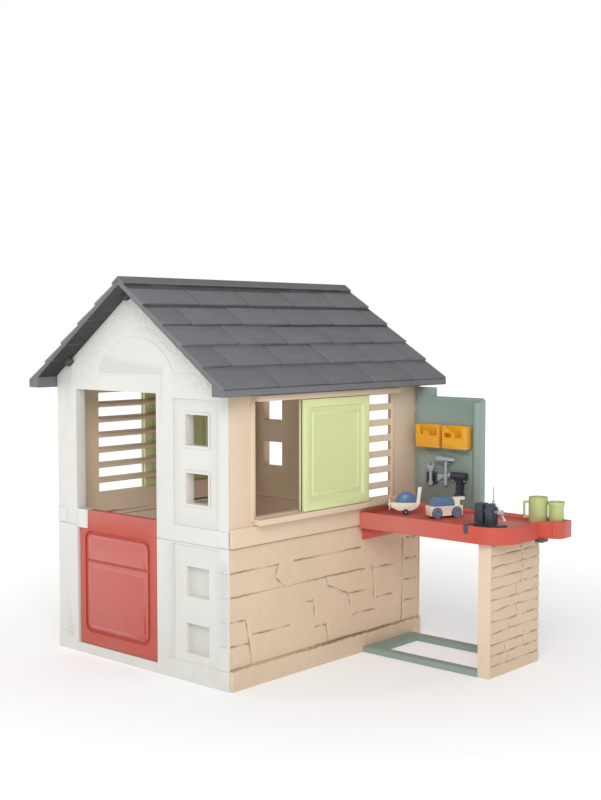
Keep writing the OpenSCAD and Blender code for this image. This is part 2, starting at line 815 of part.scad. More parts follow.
module truck_front_wheels() truck_wheels(-1);

module truck_rear_wheels() truck_wheels(1);

module truck_wheels(s) color("#7d86a3") house() truck() translate([s * wheel_base / 2, 0, wheel_r])
  for (side = [0, 1]) mirror([0, side, 0]) difference() {
    rod_y(wheel_r, beam_w / 2 + 1, truck_w / 2 + wheel_out);
    rod_y(axle_r, 0, truck_w / 2 + wheel_out + past);
    rod_y(wheel_r / 2, truck_w / 2 + wheel_out - 2, truck_w / 2 + wheel_out + past);
  }

// ---- Toy plane ----

module plane() translate([plane_at[0], plane_at[1], tray_z + roll_gap]) rotate([0, 0, plane_turn]) children();

module plane_hull() color("#ece5d6") house() plane() difference() {
  union() {
    slab(-17, 17) polygon([[-plane_l / 2, hull_z], [-plane_l / 2 + 10, 24], [-20, 14], [24, 14],
      [plane_l / 2, 26], [plane_l / 2, hull_z]]);
    block([-6, -17, plane_wheel_r - 5], [6, 17, 16]);
  }
  translate([0, 0, plane_wheel_r]) rod_y(axle_r + turn_gap, -20, 20);
  translate([0, 0, propeller_z]) rod_x(pin_r + turn_gap, plane_l / 2 - 10, plane_l / 2 + past);
}

module plane_canopy() color("#4f79ad") house() plane() intersection() {
  translate([-3, 0, hull_z]) scale([1.2, 0.55, 1.25]) sphere(r = 29, $fn = 40);
  block([-60, -30, hull_z], [60, 30, hull_z + 50]);
}

module plane_tail() color("#f4f3ee") house() plane() slab(-3, 3)
  polygon([[-plane_l / 2, hull_z], [-plane_l / 2 + 12, hull_z], [-plane_l / 2 + 6, hull_z + 52],
           [-plane_l / 2 - 6, hull_z + 52]]);

module plane_axle() color("#8e9197") house() plane() translate([0, 0, plane_wheel_r])
  rod_y(axle_r, -30, 30);

module plane_wheels() color("#23262b") house() plane() translate([0, 0, plane_wheel_r])
  for (side = [0, 1]) mirror([0, side, 0]) difference() {
    rod_y(plane_wheel_r, 18, 26);
    rod_y(axle_r, 17, 27);
  }

module plane_propeller() color("#f4f3ee") house() plane() translate([plane_l / 2, 0, propeller_z]) {
  rod_x(pin_r, -9, 1);
  rod_x(4, 0.5, 8);
  block([2, -4, -17], [5, 4, 17]);
}

// ---- Toy vice ----

module vice() translate([vice_at[0], vice_at[1], tray_z]) children();

// Fixed jaw on its base plate, with an arm that hooks over the worktop's rim
module vice_base() color("#272f3d") house() vice() difference() {
  union() {
    block([-4, -vice_w / 2, 0], [vice_l, vice_w / 2, plate_h]);
    block([0, -vice_w / 2, plate_h], [jaw_t, vice_w / 2, vice_top]);
    block([0, hook_y - 5, tray_h + jaw_gap], [12, -vice_w / 2, tray_h + 5]);
    block([0, hook_y - 5, -tray_h], [12, hook_y - jaw_gap, tray_h + 5]);
  }
  translate([0, 0, vice_z]) rod_x(thread_r + turn_gap, -past, jaw_t + past);
}

module vice_jaw() color("#313b4b") house() vice() difference() {
  block([jaw_x0, -vice_w / 2 + 1, plate_h + jaw_gap], [jaw_x0 + jaw_l, vice_w / 2 - 1, vice_top]);
  translate([0, 0, vice_z]) rod_x(thread_r + turn_gap, jaw_x0 - past, jaw_x0 + jaw_l + past);
  translate([jaw_x0 + jaw_l - 6, 0, vice_top - 16]) cylinder(r = pin_r, h = 16 + past);
}

module vice_screw() color("#b8bcc2") house() vice() translate([0, 0, vice_z]) difference() {
  union() {
    rod_x(thread_r, 10, bar_x);
    rod_x(9, bar_x - screw_head_l / 2, bar_x + screw_head_l / 2);
  }
  translate([bar_x, 0, 0]) rotate([bar_turn, 0, 0]) cylinder(r = bar_r, h = 60, center = true);
}

module vice_handle() color("#f2f1ec") house() vice() translate([bar_x, 0, vice_z])
  rotate([bar_turn, 0, 0]) {
    cylinder(r = bar_r, h = bar_l, center = true);
    for (s = [-1, 1]) translate([0, 0, s * bar_l / 2]) cylinder(r = 5, h = 6, center = true);
  }

// Small screwdriver that stands in the moving jaw
module screwdriver() color("#c9ccd0") house() vice() translate([jaw_x0 + jaw_l - 6, 0, 0]) {
  translate([0, 0, vice_top - 16]) cylinder(r = pin_r, h = driver_z - vice_top + 16);
  translate([0, 0, vice_top]) cylinder(r = 4, h = 14);
}

// ---- Cups ----

module cup(r, h) difference() {
  cylinder(r = r, h = h);
  translate([0, 0, cup_t]) cylinder(r = r - cup_t, h = h);
}

module cup_large() color("#c4d888") house() translate([cup_large_at[0], cup_large_at[1], tray_z]) {
  cup(cup_r, cup_h);
  rotate([0, 0, 222]) slab(-4, 4) difference() {
    span(cup_r - 1, cup_r + 18, 16, cup_h - 12);
    span(cup_r - 1, cup_r + 11, 24, cup_h - 20);
  }
}

module cup_small() color("#b9d77c") house() translate([cup_small_at[0], cup_small_at[1], tray_z]) {
  cup(cup_small_r, cup_small_h);
  translate([0, 0, cup_small_h - 10]) difference() {
    cylinder(r = cup_small_r + 3, h = 10);
    translate([0, 0, -past]) cylinder(r = cup_small_r - cup_t, h = 12);
  }
}

// ---- Nodes ----

front_lower_wall();
front_gable_wall();
rear_lower_wall();
rear_gable_wall();
right_lower_wall();
right_window_wall();
left_lower_wall();
left_window_wall();
right_shutter_rail();
left_shutter_rail();
right_shutter();
left_shutter();
roof_right();
roof_left();
ridge_cap();
roof_clips();
roof_screws();
corner_dowels();
belt_dowels();
door();
door_bracket();
hinge_pins();
worktop();
worktop_bracket();
worktop_clip();
leg_panel();
base_frame();
tool_panel();
panel_brackets();
bin_left();
bin_right();
hammer_head();
hammer_handle();
wrench();
saw_blade();
saw_handle();
drill_body();
drill_chuck();
truck_chassis();
truck_cab();
truck_load();
truck_front_axle();
truck_rear_axle();
truck_front_wheels();
truck_rear_wheels();
plane_hull();
plane_canopy();
plane_tail();
plane_axle();
plane_wheels();
plane_propeller();
vice_base();
vice_jaw();
vice_screw();
vice_handle();
screwdriver();
cup_large();
cup_small();
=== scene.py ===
"""Moulded garden playhouse with a half door, sliding shutters and a workshop bench.

Run as a script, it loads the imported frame, models each visible piece over it, and sets the stage.
Lengths are in metres. place() measures from the ridge, the front wall's face and the ground.
"""

import json
import math
import random

import bpy
import numpy as np
from mathutils import Matrix, Vector


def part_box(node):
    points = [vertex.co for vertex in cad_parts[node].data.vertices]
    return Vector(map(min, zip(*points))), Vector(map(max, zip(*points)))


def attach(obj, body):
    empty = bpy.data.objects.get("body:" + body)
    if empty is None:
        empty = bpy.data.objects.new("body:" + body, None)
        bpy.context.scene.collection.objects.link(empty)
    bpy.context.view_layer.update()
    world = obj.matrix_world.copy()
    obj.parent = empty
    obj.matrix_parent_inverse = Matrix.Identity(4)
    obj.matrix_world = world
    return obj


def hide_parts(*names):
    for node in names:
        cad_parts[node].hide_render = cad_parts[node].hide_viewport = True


bl_info = {
    "name": "Playhouse",
    "version": (1, 0, 0),
    "blender": (4, 5, 0),
    "location": "3D View > Sidebar > Playhouse",
    "description": "Models a moulded playhouse and its workshop bench over a fixed frame",
    "category": "Object",
}

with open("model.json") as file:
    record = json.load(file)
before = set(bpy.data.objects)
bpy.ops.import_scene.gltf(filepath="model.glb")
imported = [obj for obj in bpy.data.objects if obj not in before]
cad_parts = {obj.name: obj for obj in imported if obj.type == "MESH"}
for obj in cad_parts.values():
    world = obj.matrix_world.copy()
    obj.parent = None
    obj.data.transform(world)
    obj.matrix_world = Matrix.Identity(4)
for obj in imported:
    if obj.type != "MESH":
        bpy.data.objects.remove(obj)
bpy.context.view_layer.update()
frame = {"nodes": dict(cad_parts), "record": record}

# ---- Places that the frame gives ----

RIDGE_LOW, RIDGE_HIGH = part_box("ridge_cap")
LOWER_LOW, LOWER_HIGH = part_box("front_lower_wall")
REAR_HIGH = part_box("rear_lower_wall")[1]
ROOF_LOW, ROOF_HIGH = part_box("roof_right")
RIDGE_X = (RIDGE_LOW.x + RIDGE_HIGH.x) / 2
FRONT_Y = LOWER_LOW.y
DEPTH = REAR_HIGH.y - FRONT_Y
HALF_W = (LOWER_HIGH.x - LOWER_LOW.x) / 2
BELT_Z = LOWER_HIGH.z
RIDGE_Z = RIDGE_HIGH.z
FACADE_T = LOWER_HIGH.y - LOWER_LOW.y
SIDE_T = 0.024
FACE_T = 0.006
SIDE_X = HALF_W - SIDE_T
EAVE_X = ROOF_HIGH.x - RIDGE_X
FASCIA_H = 0.027
EAVE_Z = ROOF_LOW.z + FASCIA_H
VERGE = FRONT_Y - ROOF_LOW.y
SLOPE = math.atan2(RIDGE_Z - EAVE_Z, EAVE_X)
SLOPE_L = (RIDGE_Z - EAVE_Z) / math.sin(SLOPE)
ROOF_T = 0.024
LAP = 0.008
CAP_W = 0.038
ROWS = 5
TILE_L = (SLOPE_L - CAP_W) / ROWS
TILE_PITCH = 0.229
FIRST_JOINTS = (0.245, 0.125)
SKIRT_Z = 0.061
SKIRT_OUT = 0.010


def place(x, y, z):
    """A point of the house, given from the ridge, the front wall's face and the ground."""
    return Vector((RIDGE_X + x, FRONT_Y + y, z))


# half a turn about the upright line through the house's middle, and the mirror at the ridge
CENTRE = Matrix.Translation(place(0, DEPTH / 2, 0))
HALF_TURN = CENTRE @ Matrix.Rotation(math.pi, 4, "Z") @ CENTRE.inverted()
MIRROR = CENTRE @ Matrix.Diagonal((-1, 1, 1, 1)) @ CENTRE.inverted()

# ---- Bodies, slots and finishes, by node ----

RECORD = frame["record"]
BODY_OF = {node: body for body, nodes in RECORD["behaviour"]["bodies"].items() for node in nodes}
SLOT_OF = {part["node"]: part["material_slot"] for part in RECORD["subparts"]}
FINISH_OF = {
    "facade_white": "moulded:facade",
    "wall_beige": "moulded:wall",
    "roof_grey": "slate:roof",
    "clip_black": "moulded:trim",
    "door_red": "moulded:door",
    "bench_red": "moulded:bench",
    "shutter_green": "moulded:shutter",
    "panel_green": "moulded:panel",
    "bin_amber": "glossy:amber",
    "toy_grey": "glossy:steel",
    "toy_navy": "glossy:navy",
    "toy_cream": "glossy:cream",
    "toy_blue": "glossy:blue",
    "toy_white": "glossy:white",
    "wheel_grey": "glossy:wheel",
    "cup_green": "glossy:cup",
    "peg_plastic": "glossy:steel",
}


# ---- Sizes and colours that a user changes ----


def tint(code):
    """Linear colour of a hex code."""
    parts = [int(code[i : i + 2], 16) / 255 for i in (0, 2, 4)]
    return tuple(((c + 0.055) / 1.055) ** 2.4 if c > 0.04045 else c / 12.92 for c in parts)


def shade(label, about, code):
    return bpy.props.FloatVectorProperty(
        name=label, description=about, subtype="COLOR", size=3, min=0, max=1, default=tint(code)
    )


def length(label, about, default, low, high):
    return bpy.props.FloatProperty(
        name=label, description=about, default=default, min=low, max=high, unit="LENGTH", subtype="DISTANCE"
    )


class PlayhouseColours(bpy.types.PropertyGroup):
    facade: shade("Facade", "Front walls", "D9D8D2")
    wall: shade("Side walls", "Side and rear walls, rails and leg panel", "E0C9AD")
    roof: shade("Roof", "Roof panels and ridge cap", "66676B")
    trim: shade("Trim", "Clips and screws", "1E1F22")
    door: shade("Door", "Half door", "B8402C")
    bench: shade("Worktop", "Worktop and its bracket", "C94C38")
    shutter: shade("Shutters", "Both shutters", "DDE5AA")
    panel: shade("Tool panel", "Tool panel, its brackets and the base frame", "869B93")
    amber: shade("Bins", "Hanging bins", "EBA71B")
    navy: shade("Dark toys", "Vice, drill and saw handle", "2B3344")
    blue: shade("Blue toys", "Truck cab and plane canopy", "54789F")
    cream: shade("Cream toys", "Truck body and plane hull", "F4EDD9")
    white: shade("White toys", "Tail, propeller and handle", "F3F1EA")
    steel: shade("Grey toys", "Tools, axles and screws", "A9AFB5")
    wheel: shade("Wheels", "Toy truck's wheels", "717A98")
    cup: shade("Cups", "Both cups", "BEC886")


TOY_EDGE = 0.0008


class PlayhouseSizes(bpy.types.PropertyGroup):
    toy_edge: length("Toy edge", "Radius of the toys' moulded edges", TOY_EDGE, 0.0003, 0.003)
    stone_depth: length("Stone joint depth", "Depth of the joints between stones", 0.0045, 0.001, 0.006)
    stone_width: length("Stone joint width", "Width of the joints between stones", 0.0034, 0.002, 0.008)
    tile_gap: length("Tile gap", "Gap between two roof tiles of a row", 0.0055, 0.002, 0.009)
    tile_edge: length("Tile edge", "Radius of a roof tile's edges", 0.0018, 0.0005, 0.004)


class PlayhouseStudio(bpy.types.PropertyGroup):
    key: bpy.props.FloatProperty(
        name="Key light", description="Power of the key light", default=105, min=0, unit="POWER"
    )
    fill: bpy.props.FloatProperty(
        name="Fill light", description="Power of the fill light", default=38, min=0, unit="POWER"
    )
    sky: bpy.props.FloatProperty(name="Sky", description="Strength of the surround", default=0.5, min=0)
    lens: bpy.props.FloatProperty(
        name="Lens", description="Focal length", default=55.27, min=10, unit="CAMERA"
    )


def colours():
    return bpy.context.scene.playhouse_colours


def sizes():
    return bpy.context.scene.playhouse_sizes


# ---- Modelling helpers ----


def quiet():
    """Leaves edit mode with nothing selected."""
    if bpy.context.object and bpy.context.object.mode != "OBJECT":
        bpy.ops.object.mode_set(mode="OBJECT")
    bpy.ops.object.select_all(action="DESELECT")


def pick(piece):
    quiet()
    piece.select_set(True)
    bpy.context.view_layer.objects.active = piece
    return piece


def edit(piece, mode="FACE"):
    pick(piece)
    bpy.ops.object.mode_set(mode="EDIT")
    bpy.ops.mesh.select_mode(type=mode)
    bpy.ops.mesh.select_all(action="SELECT")


def settle(name):
    """Names the new primitive and puts its place into its mesh."""
    piece = bpy.context.object
    piece.name = name
    piece.data.name = name
    bpy.ops.object.transform_apply(location=True, rotation=True, scale=True)
    return piece


def block(name, low, high):
    quiet()
    low, high = Vector(low), Vector(high)
    bpy.ops.mesh.primitive_cube_add(size=1, location=(low + high) / 2)
    bpy.context.object.scale = high - low
    return settle(name)


def rod(name, radius, start, end, sides=40):
    quiet()
    start, end = Vector(start), Vector(end)
    turn = (end - start).to_track_quat("Z", "Y").to_euler()
    bpy.ops.mesh.primitive_cylinder_add(
        vertices=sides, radius=radius, depth=(end - start).length, location=(start + end) / 2, rotation=turn
    )
    return settle(name)


def prism(name, outline, axis, start, end):
    """A solid with this outline, from start to end along the axis."""
    quiet()
    bpy.ops.mesh.primitive_circle_add(vertices=len(outline), fill_type="NGON")
    piece = bpy.context.object
    for corner, (a, b) in zip(piece.data.vertices, outline):
        corner.co = {"X": (start, a, b), "Y": (a, start, b), "Z": (a, b, start)}[axis]
    edit(piece)
    step = Vector([(end - start) * (axis == letter) for letter in "XYZ"])
    bpy.ops.mesh.extrude_region_move(TRANSFORM_OT_translate={"value": step})
    bpy.ops.mesh.select_all(action="SELECT")
    bpy.ops.mesh.normals_make_consistent(inside=False)
    bpy.ops.object.mode_set(mode="OBJECT")
    return settle(name)


def rounded(a0, a1, b0, b1, radius, steps=6):
    """Outline of a rectangle with round corners."""
    points = []
    for k, (a, b) in enumerate(((a1, b1), (a0, b1), (a0, b0), (a1, b0))):
        ca, cb = a - math.copysign(radius, a - a0 - 1e-9), b - math.copysign(radius, b - b0 - 1e-9)
        for i in range(steps + 1):
            turn = math.pi / 2 * (k + i / steps)
            points.append((ca + radius * math.cos(turn), cb + radius * math.sin(turn)))
    return points


def apply(piece, modifier):
    pick(piece)
    bpy.ops.object.modifier_apply(modifier=modifier.name)
    return piece


def soften(piece, width, segments=3, angle=32):
    """Rounds every edge that is sharper than the angle."""
    bevel = piece.modifiers.new("edges", "BEVEL")
    bevel.width = width
    bevel.segments = segments
    bevel.limit_method = "ANGLE"
    bevel.angle_limit = math.radians(angle)
    bevel.use_clamp_overlap = True
    bevel.harden_normals = False
    apply(piece, bevel)
    return smooth(piece)


def smooth(piece, angle=38):
    pick(piece)
    bpy.ops.object.shade_smooth_by_angle(angle=math.radians(angle))
    return piece


def combine(piece, others, operation):
    for other in others:
        boolean = piece.modifiers.new("shape", "BOOLEAN")
        boolean.operation = operation
        boolean.solver = "EXACT"
        boolean.object = other
        apply(piece, boolean)
        bpy.data.objects.remove(other)
    return piece


def cut(piece, *others):
    return combine(piece, others, "DIFFERENCE")


def fuse(piece, *others):
    return combine(piece, others, "UNION")


def join(name, parts):
    """One object of several closed shells."""
    quiet()
    for part in parts:
        part.select_set(True)
    bpy.context.view_layer.objects.active = parts[0]
    if len(parts) > 1:
        bpy.ops.object.join()
    piece = bpy.context.object
    piece.name = name
    piece.data.name = name
    return piece


def twin(piece, name, change):
    """A copy with its own mesh, moved by a matrix. A mirrored copy has its faces turned back outwards."""
    copy = piece.copy()
    copy.data = piece.data.copy()
    copy.name = name
    copy.data.name = name
    bpy.context.collection.objects.link(copy)
    copy.data.transform(change)
    if change.determinant() < 0:
        edit(copy)
        bpy.ops.mesh.flip_normals()
        bpy.ops.object.mode_set(mode="OBJECT")
    return copy


def carried(node, name):
    """A merged copy of a CAD node's mesh, to be finished by hand."""
    piece = bpy.data.objects.new(name, frame["nodes"][node].data.copy())
    piece.data.name = name
    piece.data.materials.clear()
    bpy.context.collection.objects.link(piece)
    edit(piece)
    bpy.ops.mesh.remove_doubles(threshold=2e-5)
    bpy.ops.mesh.dissolve_limited(angle_limit=math.radians(0.6))
    bpy.ops.mesh.customdata_custom_splitnormals_clear()
    bpy.ops.object.mode_set(mode="OBJECT")
    return piece


def dress(piece, node, key=None):
    """Gives a finished piece the finish that its node's slot calls for and that node's body, and hides the
    node it stands for.
    """
    slot = SLOT_OF[node]
    piece.data.materials.clear()
    piece.data.materials.append(finish(key or FINISH_OF[slot]))
    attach(piece, BODY_OF[node])
    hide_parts(node)
    return piece


def shell(node, radius, segments=2):
    """Stands in for a node with its own shape, its edges rounded."""
    return dress(soften(carried(node, f"{node}_shell"), radius, segments), node)


def paint(node, material):
    """Gives a CAD node that stays in view its material."""
    mesh = frame["nodes"][node].data
    mesh.materials.clear()
    mesh.materials.append(material)


# ---- Materials ----


class Surface:
    """A node tree on a piece's own coordinates, with one bump chain into the shader."""

    def __init__(self, name, colour, rough, specular=0.5):
        self.material = bpy.data.materials.new(name)
        self.material.use_nodes = True
        self.tree = self.material.node_tree
        self.shader = self.tree.nodes["Principled BSDF"]
        self.shader.inputs["Specular IOR Level"].default_value = specular
        self.shader.inputs["Roughness"].default_value = rough
        self.place = self.tree.nodes.new("ShaderNodeTexCoord").outputs["Object"]
        base = self.tree.nodes.new("ShaderNodeRGB")
        base.outputs[0].default_value = (*colour, 1)
        self.colour = base.outputs[0]
        self.roughness = None
        self.normal = None

    def link(self, source, target):
        self.tree.links.new(source, target)

    def mapped(self, scale, turn=(0, 0, 0)):
        node = self.tree.nodes.new("ShaderNodeMapping")
        node.inputs["Scale"].default_value = scale
        node.inputs["Rotation"].default_value = turn
        self.link(self.place, node.inputs["Vector"])
        return node.outputs["Vector"]

    def noise(self, scale, detail=3.0, rough=0.55, place=None, distortion=0.0):
        node = self.tree.nodes.new("ShaderNodeTexNoise")
        node.inputs["Scale"].default_value = scale
        node.inputs["Detail"].default_value = detail
        node.inputs["Roughness"].default_value = rough
        node.inputs["Distortion"].default_value = distortion
        self.link(place or self.place, node.inputs["Vector"])
        return node.outputs["Fac"]

    def cells(self, scale, place=None):
        node = self.tree.nodes.new("ShaderNodeTexVoronoi")
        node.inputs["Scale"].default_value = scale
        self.link(place or self.place, node.inputs["Vector"])
        return node.outputs["Distance"]

    def range(self, value, low, high, out_low=0.0, out_high=1.0):
        node = self.tree.nodes.new("ShaderNodeMapRange")
        node.inputs["From Min"].default_value = low
        node.inputs["From Max"].default_value = high
        node.inputs["To Min"].default_value = out_low
        node.inputs["To Max"].default_value = out_high
        self.link(value, node.inputs["Value"])
        return node.outputs["Result"]

    def times(self, a, b):
        node = self.tree.nodes.new("ShaderNodeMath")
        node.operation = "MULTIPLY"
        self.link(a, node.inputs[0])
        self.link(b, node.inputs[1])
        return node.outputs[0]

    def tone(self, factor, colour, kind="MIX"):
        """Mixes another colour into the base colour by a factor."""
        node = self.tree.nodes.new("ShaderNodeMix")
        node.data_type = "RGBA"
        node.blend_type = kind
        self.link(factor, node.inputs["Factor"])
        self.link(self.colour, node.inputs["A"])
        node.inputs["B"].default_value = (*colour, 1)
        self.colour = node.outputs["Result"]

    def bright(self, value):
        """Multiplies the base colour's value."""
        node = self.tree.nodes.new("ShaderNodeHueSaturation")
        self.link(value, node.inputs["Value"])
        self.link(self.colour, node.inputs["Color"])
        self.colour = node.outputs["Color"]

    def bump(self, height, distance, strength=1.0):
        node = self.tree.nodes.new("ShaderNodeBump")
        node.inputs["Distance"].default_value = distance
        node.inputs["Strength"].default_value = strength
        self.link(height, node.inputs["Height"])
        if self.normal:
            self.link(self.normal, node.inputs["Normal"])
        self.normal = node.outputs["Normal"]

    def edges(self, low=0.52, high=0.62):
        """Where the surface is convex, as on a worn edge that the finishes paint paler, partly as wear and
        partly as a painted highlight. With low above high, where it is concave, as in a crease that they
        paint darker as painted shade.
        """
        node = self.tree.nodes.new("ShaderNodeNewGeometry")
        return self.range(node.outputs["Pointiness"], low, high)

    def height(self, low, high):
        """From 1 at the low height to 0 at the high one."""
        node = self.tree.nodes.new("ShaderNodeSeparateXYZ")
        self.link(self.place, node.inputs["Vector"])
        return self.range(node.outputs["Z"], low, high, 1.0, 0.0)

    def finish(self):
        self.link(self.colour, self.shader.inputs["Base Color"])
        if self.roughness:
            self.link(self.roughness, self.shader.inputs["Roughness"])
        if self.normal:
            self.link(self.normal, self.shader.inputs["Normal"])
        return self.material


def darker(colour, share):
    return tuple(c * share for c in colour)


def lighter(colour, share):
    return tuple(c + (1 - c) * share for c in colour)


def moulded(name, colour, rough=0.46, grain=1.0, scuffs=1.0, dust=True):
    """Blow-moulded plastic: soft waves, a pebbled grain, cloudy colour, fine scuffs, pale edges that are
    partly wear and partly a painted highlight, and creases darkened as painted shade.
    """
    s = Surface(name, colour, rough, specular=0.42)
    s.bright(s.range(s.noise(3.2, 3, 0.6), 0.3, 0.7, 0.965, 1.03))
    s.bright(s.range(s.noise(48, 4, 0.6), 0.3, 0.7, 0.985, 1.015))
    streak = s.noise(1.0, 4, 0.55, s.mapped((9, 9, 90)), 0.4)
    s.tone(s.range(streak, 0.62, 0.8, 0.0, 0.10 * scuffs), lighter(colour, 0.6))
    speck = s.cells(420)
    s.tone(s.range(speck, 0.05, 0.12, 0.10 * scuffs, 0.0), darker(colour, 0.6))
    # pale convex edges: partly wear, partly a painted highlight
    s.tone(s.range(s.edges(0.515, 0.6), 0, 1, 0.0, 0.22), lighter(colour, 0.5))
    # darker concave creases: painted shade
    s.tone(s.range(s.edges(0.49, 0.44), 0, 1, 0.0, 0.30), darker(colour, 0.62))
    if dust:
        soil = s.times(s.height(0.0, 0.14), s.range(s.noise(14, 5, 0.6), 0.42, 0.75))
        s.tone(s.range(soil, 0, 1, 0.0, 0.16), (0.36, 0.30, 0.22))
    s.roughness = s.range(s.noise(26, 4, 0.6), 0.3, 0.7, rough - 0.06, rough + 0.08)
    s.bump(s.noise(7, 2, 0.5), 0.0012 * grain, 0.35)
    s.bump(s.noise(620, 2, 0.5), 0.00012 * grain, 0.55)
    s.bump(streak, 0.00025, 0.25)
    return s.finish()


def slate(name, colour):
    """Moulded slate: split layers down the slope, chips, a tone for each tile, faces that lie in shade
    painted darker as painted shade, and pale edges that are partly wear and partly a painted highlight.
    """
    s = Surface(name, colour, 0.55, specular=0.36)
    tone = s.tree.nodes.new("ShaderNodeAttribute")
    tone.attribute_name = "tile_tone"
    s.bright(s.range(tone.outputs["Fac"], 0, 1, 0.93, 1.07))
    # faces that hold -1 are painted down to 0.16 of the colour: painted shade under the roof panel and the
    # ridge cap, and in the gaps between the tiles
    s.bright(s.range(tone.outputs["Fac"], -1, 0, 0.16, 1.0))
    s.bright(s.range(s.noise(4, 4, 0.65), 0.3, 0.7, 0.94, 1.05))
    layers = s.noise(1.0, 7, 0.62, s.mapped((34, 9, 34)), 0.6)
    s.tone(s.range(layers, 0.52, 0.78, 0.0, 0.35), lighter(colour, 0.16))
    s.tone(s.range(s.cells(150), 0.02, 0.12, 0.25, 0.0), darker(colour, 0.6))
    # pale convex edges: partly wear, partly a painted highlight
    s.tone(s.range(s.edges(0.515, 0.6), 0, 1, 0.0, 0.25), lighter(colour, 0.25))
    s.roughness = s.range(s.noise(40, 5, 0.6), 0.3, 0.7, 0.48, 0.66)
    s.bump(layers, 0.0022, 0.55)
    s.bump(s.noise(90, 6, 0.65), 0.0007, 0.45)
    s.bump(s.noise(700, 2, 0.5), 0.00015, 0.5)
    return s.finish()


def hewn(name, colour):
    """The walls' plastic where it is moulded as stone: chiselled faces over the plain grain, with joints and
    creases darkened as painted shade and edges made paler, partly as wear and partly as a painted highlight.
    """
    s = Surface(name, colour, 0.5, specular=0.4)
    s.bright(s.range(s.noise(3.4, 3, 0.6), 0.3, 0.7, 0.955, 1.035))
    s.bright(s.range(s.noise(30, 5, 0.6), 0.3, 0.7, 0.975, 1.02))
    chisel = s.noise(1.0, 5, 0.6, s.mapped((20, 12, 34), (0.5, 0, 0)), 0.8)
    s.tone(s.range(chisel, 0.6, 0.8, 0.0, 0.16), lighter(colour, 0.4))
    # the joints' grooves are painted darker: painted shade
    joint = s.tree.nodes.new("ShaderNodeAttribute")
    joint.attribute_name = "joint"
    s.tone(s.range(joint.outputs["Fac"], 0.2, 0.8, 0.0, 0.85), darker(colour, 0.30))
    # darker concave creases: painted shade
    s.tone(s.range(s.edges(0.49, 0.45), 0, 1, 0.0, 0.3), darker(colour, 0.55))
    # pale convex edges: partly wear, partly a painted highlight
    s.tone(s.range(s.edges(0.515, 0.58), 0, 1, 0.0, 0.3), lighter(colour, 0.5))
    soil = s.times(s.height(0.0, 0.14), s.range(s.noise(14, 5, 0.6), 0.42, 0.75))
    s.tone(s.range(soil, 0, 1, 0.0, 0.18), (0.34, 0.28, 0.20))
    s.roughness = s.range(s.noise(24, 4, 0.6), 0.3, 0.7, 0.44, 0.6)
    s.bump(chisel, 0.0014, 0.4)
    s.bump(s.noise(60, 4, 0.6), 0.0005, 0.4)
    s.bump(s.noise(620, 2, 0.5), 0.00012, 0.55)
    return s.finish()


def glossy(name, colour, rough=0.28):
    """Injection-moulded toy plastic: near smooth, with faint flow marks, rub marks, pale corners that are
    partly wear and partly a painted highlight, and creases darkened as painted shade.
    """
    s = Surface(name, colour, rough, specular=0.5)
    s.bright(s.range(s.noise(22, 3, 0.5), 0.3, 0.7, 0.97, 1.03))
    rubs = s.noise(1.0, 5, 0.6, s.mapped((60, 240, 120), (0.3, 0.4, 0.2)), 0.3)
    s.tone(s.range(rubs, 0.64, 0.8, 0.0, 0.18), lighter(colour, 0.45))
    # pale convex edges: partly wear, partly a painted highlight
    s.tone(s.range(s.edges(0.52, 0.66), 0, 1, 0.0, 0.25), lighter(colour, 0.4))
    # darker concave creases: painted shade
    s.tone(s.range(s.edges(0.49, 0.42), 0, 1, 0.0, 0.3), darker(colour, 0.55))
    s.roughness = s.range(s.noise(70, 4, 0.6), 0.3, 0.7, rough - 0.05, rough + 0.12)
    s.bump(s.noise(35, 2, 0.5), 0.0004, 0.25)
    s.bump(s.noise(1400, 2, 0.5), 0.00005, 0.4)
    return s.finish()


def studio_floor(name):
    """Matt paper, slightly clouded, that is lit up to plain white away from the house."""
    s = Surface(name, (0.62, 0.62, 0.62), 0.85, specular=0.1)
    s.bright(s.range(s.noise(1.3, 3, 0.5), 0.3, 0.7, 0.995, 1.005))
    s.bump(s.noise(240, 3, 0.5), 0.0001, 0.3)
    away = s.tree.nodes.new("ShaderNodeVectorMath")
    away.operation = "LENGTH"
    s.link(s.place, away.inputs[0])
    s.shader.inputs["Emission Color"].default_value = (1, 1, 1, 1)
    s.link(s.range(away.outputs["Value"], 0.5, 3.2, 0.36, 0.80), s.shader.inputs["Emission Strength"])
    return s.finish()


FINISHES = {}


def finish(key):
    """The material of a colour and a kind of plastic, made once."""
    if key not in FINISHES:
        kind, colour = key.split(":")
        makers = {"moulded": moulded, "hewn": hewn, "slate": slate, "glossy": glossy}
        FINISHES[key] = makers[kind](f"{kind}_{colour}", tuple(getattr(colours(), colour)))
    return FINISHES[key]


# ---- Stone relief ----


def ripple(a, b, seed, pitch, waves=9):
    """Smooth random relief from -1 to 1 over two coordinates."""
    draw = random.Random(seed)
    total = np.zeros_like(a)
    for _ in range(waves):
        turn, phase = draw.uniform(0, math.tau), draw.uniform(0, math.tau)
        rate = math.tau / pitch * draw.uniform(0.5, 1.6)
        total += np.sin(rate * (a * math.cos(turn) + b * math.sin(turn)) + phase)
    return total / waves * 2


def groove(a, b, joints, depth, width):
    """How deep the joints are cut at each point. A joint is (a0, b0, a1, b1)."""
    wander_a = a + 0.0022 * ripple(a, b, 3, 0.05)
    wander_b = b + 0.0016 * ripple(a, b, 4, 0.04)
    cutting = np.zeros_like(a)
    for k, (a0, b0, a1, b1) in enumerate(joints):
        run_a, run_b = a1 - a0, b1 - b0
        size = run_a * run_a + run_b * run_b
        along = np.clip(((wander_a - a0) * run_a + (wander_b - b0) * run_b) / size, 0, 1)
        away = np.hypot(wander_a - a0 - along * run_a, wander_b - b0 - along * run_b)
        fade = 0.72 + 0.28 * np.sin(7 * along + k)
        cutting = np.maximum(cutting, depth * fade * np.exp(-((away / width) ** 2)))
    return cutting


